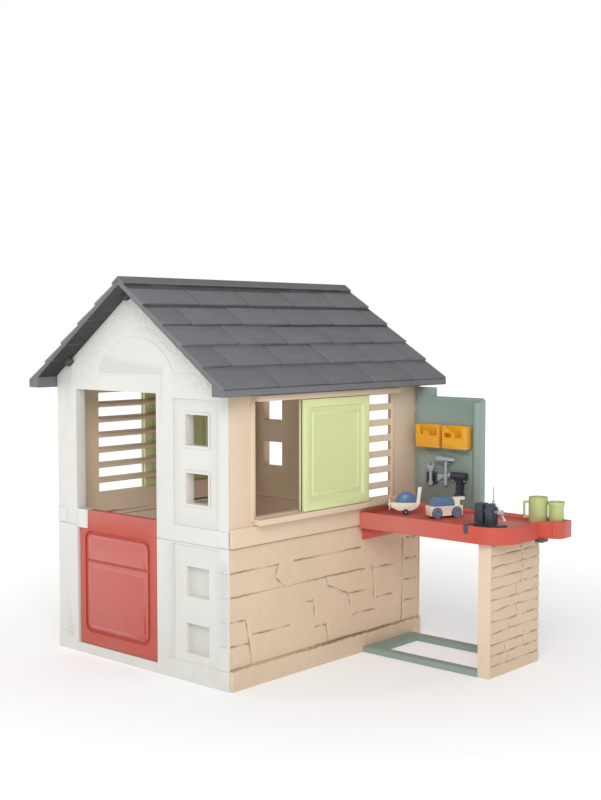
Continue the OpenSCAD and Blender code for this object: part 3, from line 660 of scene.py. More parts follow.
def grid_of(points):
    """A sheet of faces through rows of points."""
    rows, columns = points.shape[:2]
    quiet()
    bpy.ops.mesh.primitive_grid_add(x_subdivisions=columns - 1, y_subdivisions=rows - 1, size=1)
    sheet = bpy.context.object
    # its corners run fastest along its own X, from its low to its high end
    sheet.data.vertices.foreach_set("co", points.astype(np.float32).ravel())
    sheet.data.update()
    return sheet


def close_patch(piece, axis, back, name):
    """Makes a solid of a height field by drawing its outline back to a plane."""
    edit(piece)
    bpy.ops.mesh.normals_make_consistent(inside=False)
    bpy.ops.mesh.extrude_region_move(TRANSFORM_OT_translate={"value": (0, 0, 0)})
    bpy.ops.object.mode_set(mode="OBJECT")
    for corner in piece.data.vertices:
        if corner.select:
            corner.co["XYZ".index(axis)] = back
    bpy.ops.object.mode_set(mode="EDIT")
    bpy.ops.mesh.dissolve_limited(angle_limit=math.radians(0.2))
    bpy.ops.mesh.select_all(action="SELECT")
    bpy.ops.mesh.normals_make_consistent(inside=False)
    bpy.ops.object.mode_set(mode="OBJECT")
    settle(name)
    return smooth(piece, 60)


def relief_panel(name, spans, face, back, relief, joint):
    """A closed panel over spans of y and z that faces +X, with its relief and the painted shade of its
    joints.
    """
    y, z = np.meshgrid(*(np.array(span) for span in spans))
    piece = grid_of(np.stack([face + relief(y, z), y, z], axis=-1))
    shadow = piece.data.attributes.new("joint", "FLOAT", "POINT")
    shadow.data.foreach_set("value", joint(y, z).astype(np.float32).ravel())
    return close_patch(piece, "X", back, name)


def edge_fall(a, low, high, radius):
    """How far a surface has fallen away at its rounded ends."""
    near = np.minimum(a - low, high - a)
    inside = np.clip(1 - near / radius, 0, 1)
    return radius * (1 - np.sqrt(np.clip(1 - inside**2, 0, 1)))


def ticks(*stretches):
    """Coordinates along an edge. A stretch is (low, high, step)."""
    values = []
    for low, high, step in stretches:
        values += list(np.linspace(low, high, max(2, round((high - low) / step) + 1)))
    return sorted(set(round(float(v), 6) for v in values))


# ---- Front and rear walls ----

POST_W = 0.102
DOOR_X0 = -HALF_W + POST_W
DOOR_X1 = DOOR_X0 + 0.404
SILL_Z = 0.032
LINTEL_Z = 0.899
FIELD_X0, FIELD_X1 = DOOR_X1 + 0.079, HALF_W - 0.043
PANE_X0 = HALF_W - 0.190
PANE_W = 0.100
PANE_ZS, PANE_H = (0.561, 0.743), 0.096
BLIND_ZS, BLIND_H, BLIND_DEPTH = (0.090, 0.270), 0.094, 0.022
COLLAR_Z = BELT_Z + 0.053
PAST = 0.01
COURSE_H = (BELT_Z - SKIRT_Z) / 5


def underside(x):
    """Height of the roof's underside at a distance from the ridge."""
    return RIDGE_Z - ROOF_T / math.cos(SLOPE) - abs(x) * math.tan(SLOPE)


def upright(name, outline, y0, y1):
    """A solid with this outline as seen from the front: x from the ridge, y from the front wall's face."""
    return prism(name, [(RIDGE_X + x, z) for x, z in outline], "Y", FRONT_Y + y0, FRONT_Y + y1)


def wall_blank(name, low, high, gable):
    """A facade's blank: a full-width face, and a core that fits between the side walls."""
    outline = [(-HALF_W, low), (HALF_W, low), (HALF_W, high)]
    if gable:
        outline += [(0, underside(0))]
    outline += [(-HALF_W, high)]
    wall = upright(name, outline, 0, FACADE_T)
    for side in (-1, 1):
        x0, x1 = sorted((side * SIDE_X, side * (HALF_W + PAST)))
        cut(wall, block("notch", place(x0, FACE_T, low - PAST), place(x1, FACADE_T + PAST, high + 0.05)))
    return wall


def opening(x0, x1, z0, z1, depth=None, radius=0.0):
    """A cutter through a facade, or a recess of the given depth."""
    end = FACADE_T + PAST if depth is None else depth
    outline = rounded(x0, x1, z0, z1, radius, 5) if radius else [(x0, z0), (x1, z0), (x1, z1), (x0, z1)]
    return upright("opening", outline, -PAST, end)


def scored(x0, z0, x1, z1, width=0.0026):
    """A V-shaped cutter along a line on a facade."""
    start, end = place(x0, 0, z0), place(x1, 0, z1)
    return rod("score", width, start, end, 4)


def raised_frame(x0, x1, z0, z1, rim, out):
    """A thin frame round an opening, proud of the facade."""
    outer = upright("frame", rounded(x0 - rim, x1 + rim, z0 - rim, z1 + rim, 0.004, 3), -out, 0.004)
    return cut(outer, opening(x0, x1, z0, z1, 0.02))


def lower_facade():
    wall = wall_blank("front_lower_shell", 0, BELT_Z - 0.0003, False)
    cut(wall, opening(DOOR_X0, DOOR_X1, SILL_Z, BELT_Z + 0.1))
    cut(wall, opening(FIELD_X0, FIELD_X1, SKIRT_Z, BELT_Z - 0.006, 0.004))
    for z in BLIND_ZS:
        cut(wall, opening(PANE_X0, PANE_X0 + PANE_W, z, z + BLIND_H, BLIND_DEPTH))
    soften(wall, 0.0016)
    cut(wall, scored(FIELD_X0 + 0.001, SKIRT_Z, FIELD_X0 + 0.001, BELT_Z - 0.006, 0.007))
    for k in range(1, 5):
        z = SKIRT_Z + k * COURSE_H
        cut(wall, scored(FIELD_X1 + 0.006, z, HALF_W - 0.004, z, 0.0018))
    cut(wall, scored(FIELD_X1 + 0.001, SKIRT_Z, HALF_W + 0.01, SKIRT_Z, 0.0022))
    cut(wall, scored(-HALF_W - 0.01, SKIRT_Z, -HALF_W + 0.07, SKIRT_Z, 0.0016))
    return smooth(wall, 30)


ARCH = (0.185, 0.165)
ARCH_Z = LINTEL_Z + 0.013


def arch_groove():
    """Cutter for the arch line that is moulded in the gable."""
    turns = [math.pi * (0.10 + 0.72 * k / 32) for k in range(33)]

    def line(out):
        return [((ARCH[0] + out) * math.cos(t), ARCH_Z + (ARCH[1] + out) * math.sin(t)) for t in turns]

    return upright("arch", line(0.0022) + line(-0.0022)[::-1], -PAST, 0.0028)


def gable_stones():
    """Rough stones moulded between the arch and the rakes. Outside them the patch lies inside the wall."""
    xs, rise = np.linspace(-0.33, 0.33, 260), np.linspace(0, 1, 120)
    x, z = np.meshgrid(xs, rise)
    z = LINTEL_Z + 0.02 + z * (underside(0) - LINTEL_Z - 0.022 - np.abs(x) * math.tan(SLOPE))
    rake = (RIDGE_Z - ROOF_T / math.cos(SLOPE) - np.abs(x) * math.tan(SLOPE) - z) * math.cos(SLOPE)
    arch = (np.hypot(x / ARCH[0], (z - ARCH_Z) / ARCH[1]) - 1) * ARCH[1] - 0.010
    inside = np.clip(np.minimum(rake - 0.004, arch) / 0.006, 0, 1)
    draw = random.Random(9)
    seeds = np.array([(draw.uniform(-0.34, 0.34), draw.uniform(LINTEL_Z, RIDGE_Z)) for _ in range(330)])
    away = np.sort(np.hypot((x[..., None] - seeds[:, 0]) / 1.35, z[..., None] - seeds[:, 1]), axis=-1)
    seam = np.clip((away[..., 1] - away[..., 0]) / 0.005, 0, 1)
    lumps = 0.0010 + 0.0014 * seam + 0.0005 * ripple(x, z, 31, 0.03)
    height = -0.0012 + inside * (lumps * (0.55 + 0.45 * (x > 0)) + 0.0006)
    patch = grid_of(np.stack([RIDGE_X + x, FRONT_Y - height, z], axis=-1))
    return close_patch(patch, "Y", FRONT_Y + 0.003, "stones")


def gable_facade():
    wall = wall_blank("front_gable_shell", BELT_Z + 0.0003, underside(HALF_W), True)
    cut(wall, opening(DOOR_X0, DOOR_X1, BELT_Z - 0.1, LINTEL_Z))
    cut(wall, opening(FIELD_X0, FIELD_X1, COLLAR_Z, LINTEL_Z - 0.012, 0.005))
    for z in PANE_ZS:
        cut(wall, opening(PANE_X0, PANE_X0 + PANE_W, z, z + PANE_H))
    soften(wall, 0.0022)
    cut(wall, arch_groove())
    for z, x0, x1 in ((LINTEL_Z + 0.062, -0.335, 0.115), (LINTEL_Z + 0.197, -0.185, 0.055)):
        cut(wall, scored(x0, z, x1, z, 0.0024))
    parts = [wall, gable_stones()]
    for z in PANE_ZS:
        frame_ring = raised_frame(PANE_X0, PANE_X0 + PANE_W, z, z + PANE_H, 0.008, -0.0025)
        parts.append(soften(frame_ring, 0.001, 2))
    for side in (-1, 1):
        x0, x1 = sorted((side * HALF_W, side * (HALF_W - 0.048)))
        collar = block("collar", place(x0, -0.003, BELT_Z + 0.004), place(x1, 0.004, COLLAR_Z))
        parts.append(soften(collar, 0.0016))
    return smooth(join("front_gable_shell", parts), 30)


class PLAYHOUSE_OT_facades(bpy.types.Operator):
    """Front and rear walls: a lower wall with blind squares, and a gable with an arch of stones"""

    bl_idname = "playhouse.facades"
    bl_label = "Facades"

    def execute(self, context):
        lower, gable = lower_facade(), gable_facade()
        jamb = block("jamb", place(DOOR_X1 - 0.011, 0.031, 0.060), place(DOOR_X1 + 0.002, FACADE_T, BELT_Z))
        rear_lower = twin(lower, "rear_lower_shell", HALF_TURN)
        rear_gable = twin(gable, "rear_gable_shell", HALF_TURN)
        lower = join("front_lower_shell", [lower, soften(jamb, 0.001, 2)])
        dress(lower, "front_lower_wall")
        dress(gable, "front_gable_wall")
        dress(rear_lower, "rear_lower_wall")
        dress(rear_gable, "rear_gable_wall")
        return {"FINISHED"}


# ---- Side walls ----

QUOIN_Y = DEPTH - 0.105
STONE_RUNS = (
    (0.012, 0.226, 4), (0.302, 0.640, 4), (0.012, 0.660, 3), (0.012, 0.080, 2), (0.354, 0.396, 2.1),
    (0.565, 0.690, 2), (0.109, 0.276, 1.3), (0.012, 0.092, 1), (0.405, 0.460, 0.9), (0.600, 0.719, 1),
    (0.700, 0.820, 2.9), (QUOIN_Y, DEPTH - 0.024, 1), (QUOIN_Y + 0.012, DEPTH - 0.024, 2),
    (QUOIN_Y + 0.020, DEPTH - 0.024, 3), (QUOIN_Y + 0.030, DEPTH - 0.024, 4), (0.726, 0.817, 1.5),
)
STONE_RISERS = (
    (0.226, 4, 0.212, 3.45), (0.212, 3.45, 0.250, 3.05), (0.457, 3, 0.467, 2.6), (0.467, 2.6, 0.565, 2.05),
    (0.572, 2, 0.580, 1.5), (0.393, 2.15, 0.400, 1.45), (0.078, 2.03, 0.086, 1.4), (0.086, 1.4, 0.104, 0.1),
    (0.458, 0.88, 0.468, 0.1), (QUOIN_Y, 0, QUOIN_Y + 0.004, 4), (0.706, 3.0, 0.711, 1.55),
)


def stone_joints():
    def at(course):
        return SKIRT_Z + course * COURSE_H

    joints = [(y0, at(k), y1, at(k) - 0.002) for y0, y1, k in STONE_RUNS]
    joints.append((0.008, SKIRT_Z + 0.003, DEPTH - 0.008, SKIRT_Z + 0.003))
    return joints + [(y0, at(k0), y1, at(k1)) for y0, k0, y1, k1 in STONE_RISERS]


def lower_side():
    """The lower side wall: rows of moulded stones over a skirting."""
    y0, y1 = FACE_T, DEPTH - FACE_T
    depth, width = sizes().stone_depth, sizes().stone_width
    joints = stone_joints()

    def relief(y, z):
        stones = groove(y, z, joints, depth, width)
        swell = 0.0009 * ripple(y, z, 7, 0.22) + 0.0004 * ripple(y, z, 8, 0.05)
        above = np.clip((z - SKIRT_Z) / 0.004, 0, 1)
        out = SKIRT_OUT * (1 - above**1.5)
        falls = edge_fall(y, y0, y1, 0.003) + edge_fall(z, 0, BELT_Z - 0.0012, 0.003)
        return out - (stones - np.minimum(swell, 0.0) + 0.0009) * above - falls

    ys = ticks((y0, y0 + 0.003, 0.0006), (y0 + 0.003, y1 - 0.003, 0.0031), (y1 - 0.003, y1, 0.0006))
    zs = ticks(
        (0, 0.003, 0.0006), (0.003, SKIRT_Z - 0.001, 0.008), (SKIRT_Z - 0.001, SKIRT_Z + 0.005, 0.0008),
        (SKIRT_Z + 0.005, BELT_Z - 0.0045, 0.0027), (BELT_Z - 0.0045, BELT_Z - 0.0012, 0.0006),
    )
    return relief_panel(
        "right_lower_shell", ([FRONT_Y + y for y in ys], zs), RIDGE_X + HALF_W, RIDGE_X + SIDE_X,
        lambda y, z: relief(y - FRONT_Y, z),
        # where the joints' painted shade falls
        lambda y, z: groove(y - FRONT_Y, z, joints, 1.0, width * 0.8) * (z > SKIRT_Z - 0.004),
    )


WIN_Y0, WIN_Z0, WIN_Z1 = 0.116, 0.522, 0.882
WIN_Y1 = DEPTH - 0.174
MULLION_Y = (WIN_Y0 + WIN_Y1) / 2 + 0.005
LOUVRE_GAP, LOUVRE_PITCH, LOUVRES = 0.030, 0.054, 7
BAND_OUT = 0.008
SILL_Z0, RAIL_H, SLOT_H = 0.500, 0.018, 0.009
RAIL_X = HALF_W + 0.003 + 0.001 + 0.024 + 0.004


def side_block(name, x0, x1, y0, y1, z0, z1):
    return block(name, place(x0, y0, z0), place(x1, y1, z1))


def flare(gap, down, up):
    """Widens a louvre's cutter towards the inside, so that the slats taper."""
    middle = sum((c.co.z for c in gap.data.vertices)) / 8
    for corner in gap.data.vertices:
        if corner.co.x < RIDGE_X + HALF_W - 0.005:
            corner.co.z += up if corner.co.z > middle else -down
            if corner.co.y > FRONT_Y + MULLION_Y + 0.01:
                corner.co.y += 0.014


def upper_side():
    """The upper side wall: a band, a sill with a groove for the shutter, an open half and louvres."""
    y0, y1 = FACE_T, DEPTH - FACE_T
    top = underside(HALF_W)
    wall = side_block("right_window_shell", SIDE_X, HALF_W, y0, y1, BELT_Z + 0.0012, top)
    cut(wall, side_block("gap", SIDE_X - 0.01, HALF_W + 0.01, WIN_Y0, MULLION_Y - 0.024, WIN_Z0, WIN_Z1))
    for k in range(LOUVRES):
        z = WIN_Z0 + k * LOUVRE_PITCH
        gap = side_block("gap", SIDE_X - 0.001, HALF_W + 0.001, MULLION_Y, WIN_Y1, z, z + LOUVRE_GAP)
        flare(gap, 0.001 if k == 0 else 0.008, 0.001 if k == LOUVRES - 1 else 0.008)
        cut(wall, gap)
    soften(wall, 0.003)
    band = side_block("band", HALF_W - 0.004, HALF_W + BAND_OUT, y0, y1, BELT_Z + 0.0012, BELT_Z + 0.060)
    soften(band, 0.003)
    parts = [wall, band]
    for y in (WIN_Y0 - 0.018, WIN_Y1):
        border = side_block("border", HALF_W - 0.003, HALF_W + 0.003, y, y + 0.018, 0.512, WIN_Z1 - 0.005)
        parts.append(soften(border, 0.0014, 2))
    sill = track("sill", HALF_W - 0.004, SILL_Z0, SILL_Z0 + RAIL_H)
    slot = shutter_slot(SILL_Z0 + SLOT_H, SILL_Z0 + 0.03)
    parts.append(soften(cut(sill, slot), 0.0015, 2))
    inner = side_block("rib", SIDE_X, SIDE_X + 0.004, y0, y1, BELT_Z + 0.010, BELT_Z + 0.018)
    parts.append(soften(inner, 0.001, 2))
    return smooth(join("right_window_shell", parts), 30)


def track(name, x0, z0, z1):
    """The block of a sill or a rail, a little longer than the window."""
    return side_block(name, x0, RAIL_X, WIN_Y0 - 0.009, WIN_Y1 + 0.009, z0, z1)


def shutter_slot(z0, z1):
    """Cutter for the groove that a shutter's tongue runs in."""
    return side_block("slot", HALF_W + 0.012, HALF_W + 0.020, WIN_Y0 - 0.003, WIN_Y1 + 0.003, z0, z1)


def shutter_rail():
    rail = track("right_rail_shell", HALF_W, WIN_Z1, WIN_Z1 + RAIL_H)
    return soften(cut(rail, shutter_slot(WIN_Z1 - 0.01, WIN_Z1 + SLOT_H)), 0.0015, 2)


class PLAYHOUSE_OT_side_walls(bpy.types.Operator):
    """Side walls, with moulded stones below and a shuttered, louvred window above"""

    bl_idname = "playhouse.side_walls"
    bl_label = "Side walls"

    def execute(self, context):
        for piece, part, node, key in (
            (lower_side(), "lower", "lower_wall", "hewn:wall"),
            (upper_side(), "window", "window_wall", None),
            (shutter_rail(), "rail", "shutter_rail", None),
        ):
            dress(twin(piece, f"left_{part}_shell", HALF_TURN), f"left_{node}", key)
            dress(piece, f"right_{node}", key)
        return {"FINISHED"}


# ---- Shutters ----


class PLAYHOUSE_OT_shutters(bpy.types.Operator):
    """Sliding shutters with a recessed panel and tongues that run in the rails"""

    bl_idname = "playhouse.shutters"
    bl_label = "Shutters"

    def execute(self, context):
        low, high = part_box("right_shutter")
        tongue = 0.009
        z0, z1 = low.z + tongue, high.z - tongue
        leaf = block("right_shutter_leaf", (low.x, low.y, z0), (high.x, high.y, z1))
        y0, y1 = low.y + 0.026, high.y - 0.034
        face = high.x

        def pocket(inset, depth, radius):
            outline = rounded(y0 + inset, y1 - inset, z0 + 0.030 + inset, z1 - 0.026 - inset, radius)
            return prism("pocket", outline, "X", face - depth, face + 0.01)

        cut(leaf, pocket(0, 0.004, 0.010))
        soften(leaf, 0.0016)
        rim = cut(pocket(0.016, 0.005, 0.008), pocket(0.026, 0.02, 0.006))
        cut(rim, block("past", (face - 0.0024, low.y - 1, z0 - 1), (face + 1, high.y + 1, z1 + 1)))
        back = prism("back", rounded(y0, y1, z0 + 0.03, z1 - 0.03, 0.01), "X", low.x - 0.01, low.x + 0.004)
        cut(leaf, back)
        rail_x = (low.x + high.x) / 2
        runner = block("runner", (rail_x - 0.003, low.y, low.z), (rail_x + 0.003, high.y, high.z))
        leaf = join("right_shutter_leaf", [leaf, soften(rim, 0.0008, 2), soften(runner, 0.001, 2)])
        smooth(leaf, 30)
        # the left one stands further along its rail than the right one turned round would
        turned_y = 2 * FRONT_Y + DEPTH - high.y
        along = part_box("left_shutter")[0].y - turned_y
        other = twin(leaf, "left_shutter_leaf", Matrix.Translation((0, along, 0)) @ HALF_TURN)
        dress(leaf, "right_shutter")
        dress(other, "left_shutter")
        return {"FINISHED"}


# ---- Roof ----


def down_slope(s, d):
    """X from the ridge and height, at a distance down the slope and a depth below the outer face."""
    return (
        s * math.cos(SLOPE) - d * math.sin(SLOPE),
        RIDGE_Z - s * math.sin(SLOPE) - d * math.cos(SLOPE),
    )


def shade_faces(piece, value, dark=None):
    """Stores a tone for each face, and -1 for those that a test picks out as lying in shade, which the slate
    paints darker as painted shade.
    """
    tone = piece.data.attributes.new("tile_tone", "FLOAT", "FACE")
    tone.data.foreach_set("value", [-1.0 if dark and dark(face) else value for face in piece.data.polygons])


def tile(s0, s1, y0, y1, open_ends, draw):
    """One roof tile: a wedge, thin at its upper edge, with soft edges and a hand-laid look."""
    top, low = draw.uniform(0, 0.0008), draw.uniform(0, 0.0010)
    sag = draw.uniform(-0.0012, 0.0004)
    quiet()
    bpy.ops.mesh.primitive_cube_add(size=1)
    piece = bpy.context.object
    for corner in piece.data.vertices:
        s = s1 + sag * (corner.co.y > 0) if corner.co.x > 0 else s0
        narrow = 0 if corner.co.x > 0 else sizes().tile_gap * 0.42
        y = y1 + narrow * open_ends[1] if corner.co.y > 0 else y0 - narrow * open_ends[0]
        outer = LAP + top if corner.co.x < 0 else low
        depth = outer if corner.co.z > 0 else LAP + 0.006
        x, z = down_slope(s, depth)
        corner.co = place(x, y, z)
    edit(piece)
    bpy.ops.mesh.normals_make_consistent(inside=False)
    bpy.ops.object.mode_set(mode="OBJECT")
    settle("tile")
    soften(piece, sizes().tile_edge, 2, 20)
    shade_faces(piece, draw.random())
    return piece


def tile_joint_places(row):
    y = -VERGE + FIRST_JOINTS[row % 2]
    places = []
    while y < DEPTH + VERGE - 0.04:
        places.append(y)
        y += TILE_PITCH
    return places


def roof_slope():
    """The right slope: a boxed panel under five rows of lapped tiles."""
    y0, y1 = -VERGE, DEPTH + VERGE
    soffit_x = HALF_W + 0.005
    deep = LAP + 0.0015
    outline = [down_slope(0, deep), down_slope(SLOPE_L - 0.004, deep)]
    outline += [(EAVE_X - 0.0005, EAVE_Z - 0.006), (EAVE_X - 0.0005, ROOF_LOW.z), (soffit_x, ROOF_LOW.z)]
    outline += [(soffit_x, underside(soffit_x)), (0.0002, underside(0)), (0.0002, down_slope(0, deep)[1])]
    outline[0] = (0.0004, down_slope(0, deep)[1])
    outline.pop()
    panel = upright("roof_right_shell", outline, y0 + 0.0015, y1 - 0.0015)
    soften(panel, 0.002, 2, 25)
    # the panel's underside, and its top that shows in the gaps between the tiles, are painted darker:
    # painted shade
    shade_faces(panel, 0.35, lambda face: face.normal.z < -0.3 or face.normal.z > 0.5)
    draw = random.Random(5)
    gap = sizes().tile_gap / 2
    parts = [panel]
    for row in range(ROWS):
        s0 = CAP_W + row * TILE_L - (0.004 if row else 0.010)
        s1 = CAP_W + (row + 1) * TILE_L
        ends = [y0] + tile_joint_places(row) + [y1]
        for k in range(len(ends) - 1):
            left = ends[k] + (gap if k else 0)
            right = ends[k + 1] - (gap if k < len(ends) - 2 else 0)
            ends_open = (k > 0, k < len(ends) - 2)
            parts.append(tile(s0, s1, left, right, ends_open, draw))
    return smooth(join("roof_right_shell", parts), 30)


def ridge():
    """The ridge cap, with its lower edges turned down."""
    deep = LAP + 0.003
    right = [down_slope(CAP_W + 0.001, 0), down_slope(CAP_W + 0.001, deep)]
    left = [(-x, z) for x, z in right[::-1]]
    outline = [(0, RIDGE_Z), *right, (0, down_slope(0, deep)[1] - 0.004), *left]
    cap = upright("ridge_cap_shell", outline, -VERGE, DEPTH + VERGE)
    soften(cap, 0.0022, 3, 20)
    # the cap's underside is painted darker: painted shade
    shade_faces(cap, 0.2, lambda face: face.normal.z < -0.3)
    return cap


class PLAYHOUSE_OT_roof(bpy.types.Operator):
    """Two roof slopes of lapped tiles, the ridge cap, and the clips and screws"""

    bl_idname = "playhouse.roof"
    bl_label = "Roof"

    def execute(self, context):
        right = roof_slope()
        dress(twin(right, "roof_left_shell", MIRROR), "roof_left")
        dress(right, "roof_right")
        dress(ridge(), "ridge_cap")
        shell("roof_clips", 0.0012)
        shell("roof_screws", 0.0010)
        return {"FINISHED"}


# ---- Half door ----


class PLAYHOUSE_OT_door(bpy.types.Operator):
    """The half door with its moulded panel, the bracket and pins it turns on, and the hidden dowels"""

    bl_idname = "playhouse.door"
    bl_label = "Half door"

    def execute(self, context):
        low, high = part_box("door")
        leaf = carried("door", "door_leaf")
        fill = prism(
            "fill", rounded(low.x + 0.034, high.x - 0.034, low.z + 0.040, high.z - 0.045, 0.006), "Y",
            low.y + 0.0004, low.y + 0.012,
        )
        fuse(leaf, fill)
        trim = block("trim", (high.x - 0.0028, low.y - 1, low.z - 1), (high.x + 1, high.y + 1, high.z + 1))
        cut(leaf, trim)
        soften(leaf, 0.0018, 2)

        def outline(inset, radius):
            bottom, top = low.z + 0.008, high.z - 0.036
            return rounded(low.x + inset, high.x - inset, bottom + inset, top - inset, radius)

        ring = cut(
            prism("ring", outline(0.034, 0.030), "Y", low.y - 0.01, low.y + 0.005),
            prism("core", outline(0.046, 0.022), "Y", low.y - 0.02, low.y + 0.02),
        )
        middle = low.z + 0.283
        ends = (low.x + 0.040, high.x - 0.040)
        bar = block("bar", (ends[0], low.y - 0.01, middle), (ends[1], low.y + 0.0035, middle + 0.009))
        cut(leaf, soften(ring, 0.002, 2), soften(bar, 0.0015, 2))
        cut(leaf, *[
            block("rib", (low.x + 0.03, high.y - 0.006, z), (high.x - 0.03, high.y + 0.01, z + 0.08))
            for z in (low.z + 0.05, low.z + 0.19, low.z + 0.33)
        ])
        dress(smooth(leaf, 30), "door")
        shell("door_bracket", 0.0022, 3)
        shell("hinge_pins", 0.0008)
        for node in ("corner_dowels", "belt_dowels"):
            paint(node, finish("moulded:steel"))
        return {"FINISHED"}


# ---- Bench ----


class PLAYHOUSE_OT_bench(bpy.types.Operator):
    """Worktop, its bracket and clip, the leg panel and the base frame"""

    bl_idname = "playhouse.bench"
    bl_label = "Bench"

    def execute(self, context):
        shell("worktop", 0.003, 3)
        shell("worktop_bracket", 0.002)
        shell("worktop_clip", 0.0015)
        dress(self.leg(), "leg_panel", "hewn:wall")
        shell("base_frame", 0.003, 3)
        return {"FINISHED"}

    def leg(self):
        """Leg panel, with thin courses of moulded stones on its outer side."""
        low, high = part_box("leg_panel")
        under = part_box("worktop")[0].z
        draw = random.Random(21)
        joints = []
        rows, first_z, margin = 11, 0.036, 0.014
        pitch = (under - 0.04) / rows
        for k in range(rows + 1):
            z = first_z + k * pitch
            y = low.y + margin
            while y < high.y - 0.01:
                run = draw.uniform(0.08, 0.20)
                end = min(y + run, high.y - 0.001)
                joints.append((y, z + draw.uniform(-0.003, 0.003), end, z + draw.uniform(-0.003, 0.003)))
                if k < rows and end < high.y - 0.02:
                    lean = draw.uniform(-0.004, 0.004)
                    joints.append((end, z, end + lean, z + pitch * draw.uniform(0.4, 0.95)))
                y = end + draw.uniform(-0.002, 0.016)
        depth, width = sizes().stone_depth, sizes().stone_width

        def relief(y, z):
            stones = groove(y, z, joints, depth * 0.9, width)
            lean = 0.0022 * (((z - first_z) / pitch) % 1.0) * (z > first_z) * (y > low.y + margin)
            falls = edge_fall(y, low.y, high.y, 0.003) + edge_fall(z, 0, under, 0.003)
            return -stones - lean - 0.0003 - falls

        fall = 0.003
        ys = ticks(
            (low.y, low.y + fall, 0.0006), (low.y + fall, high.y - fall, 0.0026),
            (high.y - fall, high.y, 0.0006),
        )
        zs = ticks((0, fall, 0.0006), (fall, under - fall, 0.0022), (under - fall, under, 0.0006))
        leg = relief_panel(
            "leg_shell", (ys, zs), high.x, low.x, relief,
            # where the joints' painted shade falls
            lambda y, z: groove(y, z, joints, 0.8, width * 0.8),
        )
        tenon = block(
            "tenon", (low.x + 0.008, low.y + 0.012, under - 0.01), (high.x - 0.008, high.y - 0.025, high.z)
        )
        return join("leg_shell", [leg, soften(tenon, 0.002, 2)])


# ---- Tool panel, bins and tools ----


class PLAYHOUSE_OT_tool_panel(bpy.types.Operator):
    """Tool panel with its brackets, and the two hanging bins"""

    bl_idname = "playhouse.tool_panel"
    bl_label = "Tool panel"

    def execute(self, context):
        shell("tool_panel", 0.0012)
        shell("panel_brackets", 0.001)
        # windows in the bins' fronts: how far along, how wide, how far below the rim, how high
        slots = {
            "left": ((0.020, 0.012, 0.006, 0.028), (0.056, 0.034, 0.006, 0.030)),
            "right": ((0.010, 0.028, 0.024, 0.015), (0.052, 0.026, 0.012, 0.027)),
        }
        for side, places in slots.items():
            node = f"bin_{side}"
            low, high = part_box(node)
            tub = carried(node, f"{node}_shell")
            for along, wide, below, tall in places:
                outline = rounded(
                    low.x + along, low.x + along + wide, high.z - below - tall, high.z - below, 0.005, 4,
                )
                cut(tub, prism("slot", outline, "Y", low.y - 0.01, low.y + 0.012))
            dress(soften(tub, 0.001, 2), node)
        return {"FINISHED"}


class PLAYHOUSE_OT_tools(bpy.types.Operator):
    """Hammer, wrench, saw and drill on the tool panel"""

    bl_idname = "playhouse.tools"
    bl_label = "Hanging tools"

    def execute(self, context):
        for node in (
            "hammer_head", "hammer_handle", "wrench", "saw_blade", "saw_handle", "drill_body", "drill_chuck",
        ):
            shell(node, 0.001)
        return {"FINISHED"}


# ---- Toys ----


class PLAYHOUSE_OT_toys(bpy.types.Operator):
    """Toy truck, toy plane, toy vice and the two cups"""

    bl_idname = "playhouse.toys"
    bl_label = "Toys"

    def execute(self, context):
        for node in (
            "truck_chassis", "truck_cab", "truck_load", "truck_front_axle", "truck_rear_axle",
            "truck_front_wheels", "truck_rear_wheels",
            "plane_hull", "plane_canopy", "plane_tail", "plane_axle", "plane_wheels", "plane_propeller",
            "vice_base", "vice_jaw", "vice_screw", "vice_handle", "screwdriver",
            "cup_large", "cup_small",
        ):
            shell(node, sizes().toy_edge)
        return {"FINISHED"}


# ---- Stage ----

KEY_SIZE, KEY_PLACE = 2.4, (2.6, -3.2, 3.0)
FILL_SIZE, FILL_PLACE = 3.0, (-3.6, -2.6, 1.6)
CAMERA_PLACE = (2.7284, -3.0820, 1.1101)
CAMERA_DOWN, CAMERA_TURN, CAMERA_SHIFT = 0.0640, 0.7273, 0.0066


def area_light(name, power, size, at, aim):
    lamp = bpy.data.lights.new(name, "AREA")
    lamp.shape = "SQUARE"
    lamp.size = size
    lamp.energy = power
    light = bpy.data.objects.new(name, lamp)
    bpy.context.collection.objects.link(light)
    light.location = at
    light.rotation_euler = (Vector(aim) - Vector(at)).to_track_quat("-Z", "Y").to_euler()
    return light


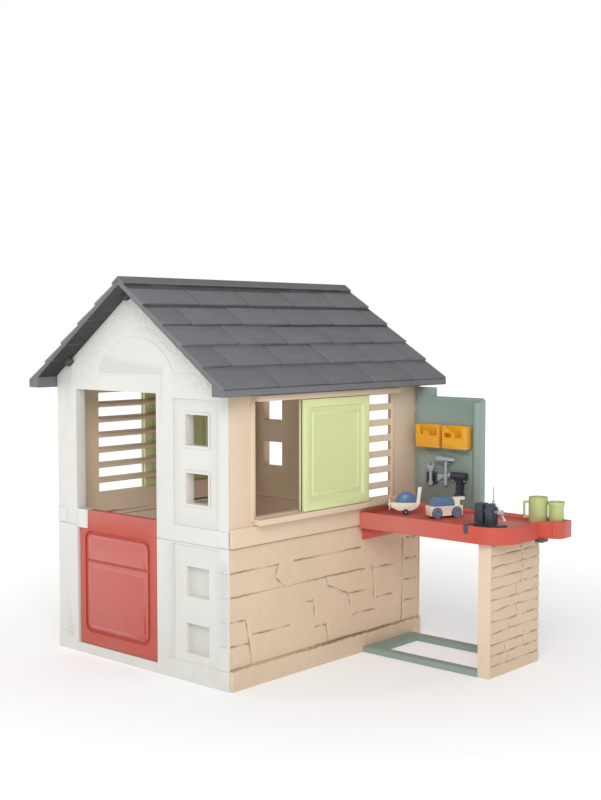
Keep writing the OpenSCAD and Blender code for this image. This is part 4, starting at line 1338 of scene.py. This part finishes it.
class PLAYHOUSE_OT_stage(bpy.types.Operator):
    """Pale floor, soft studio light and the camera"""

    bl_idname = "playhouse.stage"
    bl_label = "Stage"

    def execute(self, context):
        studio = context.scene.playhouse_studio
        quiet()
        bpy.ops.mesh.primitive_plane_add(size=40, location=(0, 0, -0.0005))
        floor = settle("floor")
        floor.data.materials.append(studio_floor("paper"))
        world = bpy.data.worlds.new("studio")
        context.scene.world = world
        world.use_nodes = True
        tree = world.node_tree
        sky = tree.nodes["Background"]
        sky.inputs["Color"].default_value = (1, 1, 1, 1)
        sky.inputs["Strength"].default_value = studio.sky
        paper = tree.nodes.new("ShaderNodeBackground")
        paper.inputs["Color"].default_value = (1, 1, 1, 1)
        seen, choice = tree.nodes.new("ShaderNodeLightPath"), tree.nodes.new("ShaderNodeMixShader")
        tree.links.new(seen.outputs["Is Camera Ray"], choice.inputs["Fac"])
        tree.links.new(sky.outputs[0], choice.inputs[1])
        tree.links.new(paper.outputs[0], choice.inputs[2])
        tree.links.new(choice.outputs[0], tree.nodes["World Output"].inputs["Surface"])
        area_light("key", studio.key, KEY_SIZE, KEY_PLACE, (0, 0, 0.5))
        area_light("fill", studio.fill, FILL_SIZE, FILL_PLACE, (0, 0, 0.6))
        camera = bpy.data.cameras.new("camera")
        camera.lens = studio.lens
        camera.sensor_width = 36
        camera.shift_y = CAMERA_SHIFT
        view = bpy.data.objects.new("camera", camera)
        context.collection.objects.link(view)
        view.location = CAMERA_PLACE
        view.rotation_euler = (math.pi / 2 - CAMERA_DOWN, 0, CAMERA_TURN)
        context.scene.camera = view
        context.scene.view_settings.view_transform = "Standard"
        return {"FINISHED"}


class PLAYHOUSE_PT_sidebar(bpy.types.Panel):
    """Lists the playhouse's pieces and its sizes and colours"""

    bl_label = "Playhouse"
    bl_idname = "PLAYHOUSE_PT_sidebar"
    bl_space_type = "VIEW_3D"
    bl_region_type = "UI"
    bl_category = "Playhouse"

    def draw(self, context):
        for piece in PIECES:
            self.layout.operator(piece.bl_idname)
        for name in GROUPS:
            group = getattr(context.scene, name)
            column = self.layout.column()
            for field in group.__annotations__:
                column.prop(group, field)


PIECES = (
    PLAYHOUSE_OT_stage,
    PLAYHOUSE_OT_facades,
    PLAYHOUSE_OT_side_walls,
    PLAYHOUSE_OT_shutters,
    PLAYHOUSE_OT_roof,
    PLAYHOUSE_OT_door,
    PLAYHOUSE_OT_bench,
    PLAYHOUSE_OT_tool_panel,
    PLAYHOUSE_OT_tools,
    PLAYHOUSE_OT_toys,
)
GROUPS = {
    "playhouse_colours": PlayhouseColours,
    "playhouse_sizes": PlayhouseSizes,
    "playhouse_studio": PlayhouseStudio,
}


def register():
    for group in GROUPS.values():
        bpy.utils.register_class(group)
    for name, group in GROUPS.items():
        setattr(bpy.types.Scene, name, bpy.props.PointerProperty(type=group))
    for piece in (*PIECES, PLAYHOUSE_PT_sidebar):
        bpy.utils.register_class(piece)


def unregister():
    for piece in reversed((*PIECES, PLAYHOUSE_PT_sidebar)):
        bpy.utils.unregister_class(piece)
    for name, group in GROUPS.items():
        delattr(bpy.types.Scene, name)
        bpy.utils.unregister_class(group)


def main():
    register()
    for piece in PIECES:
        family, name = piece.bl_idname.split(".")
        getattr(getattr(bpy.ops, family), name)()


if __name__ == "__main__":
    main()
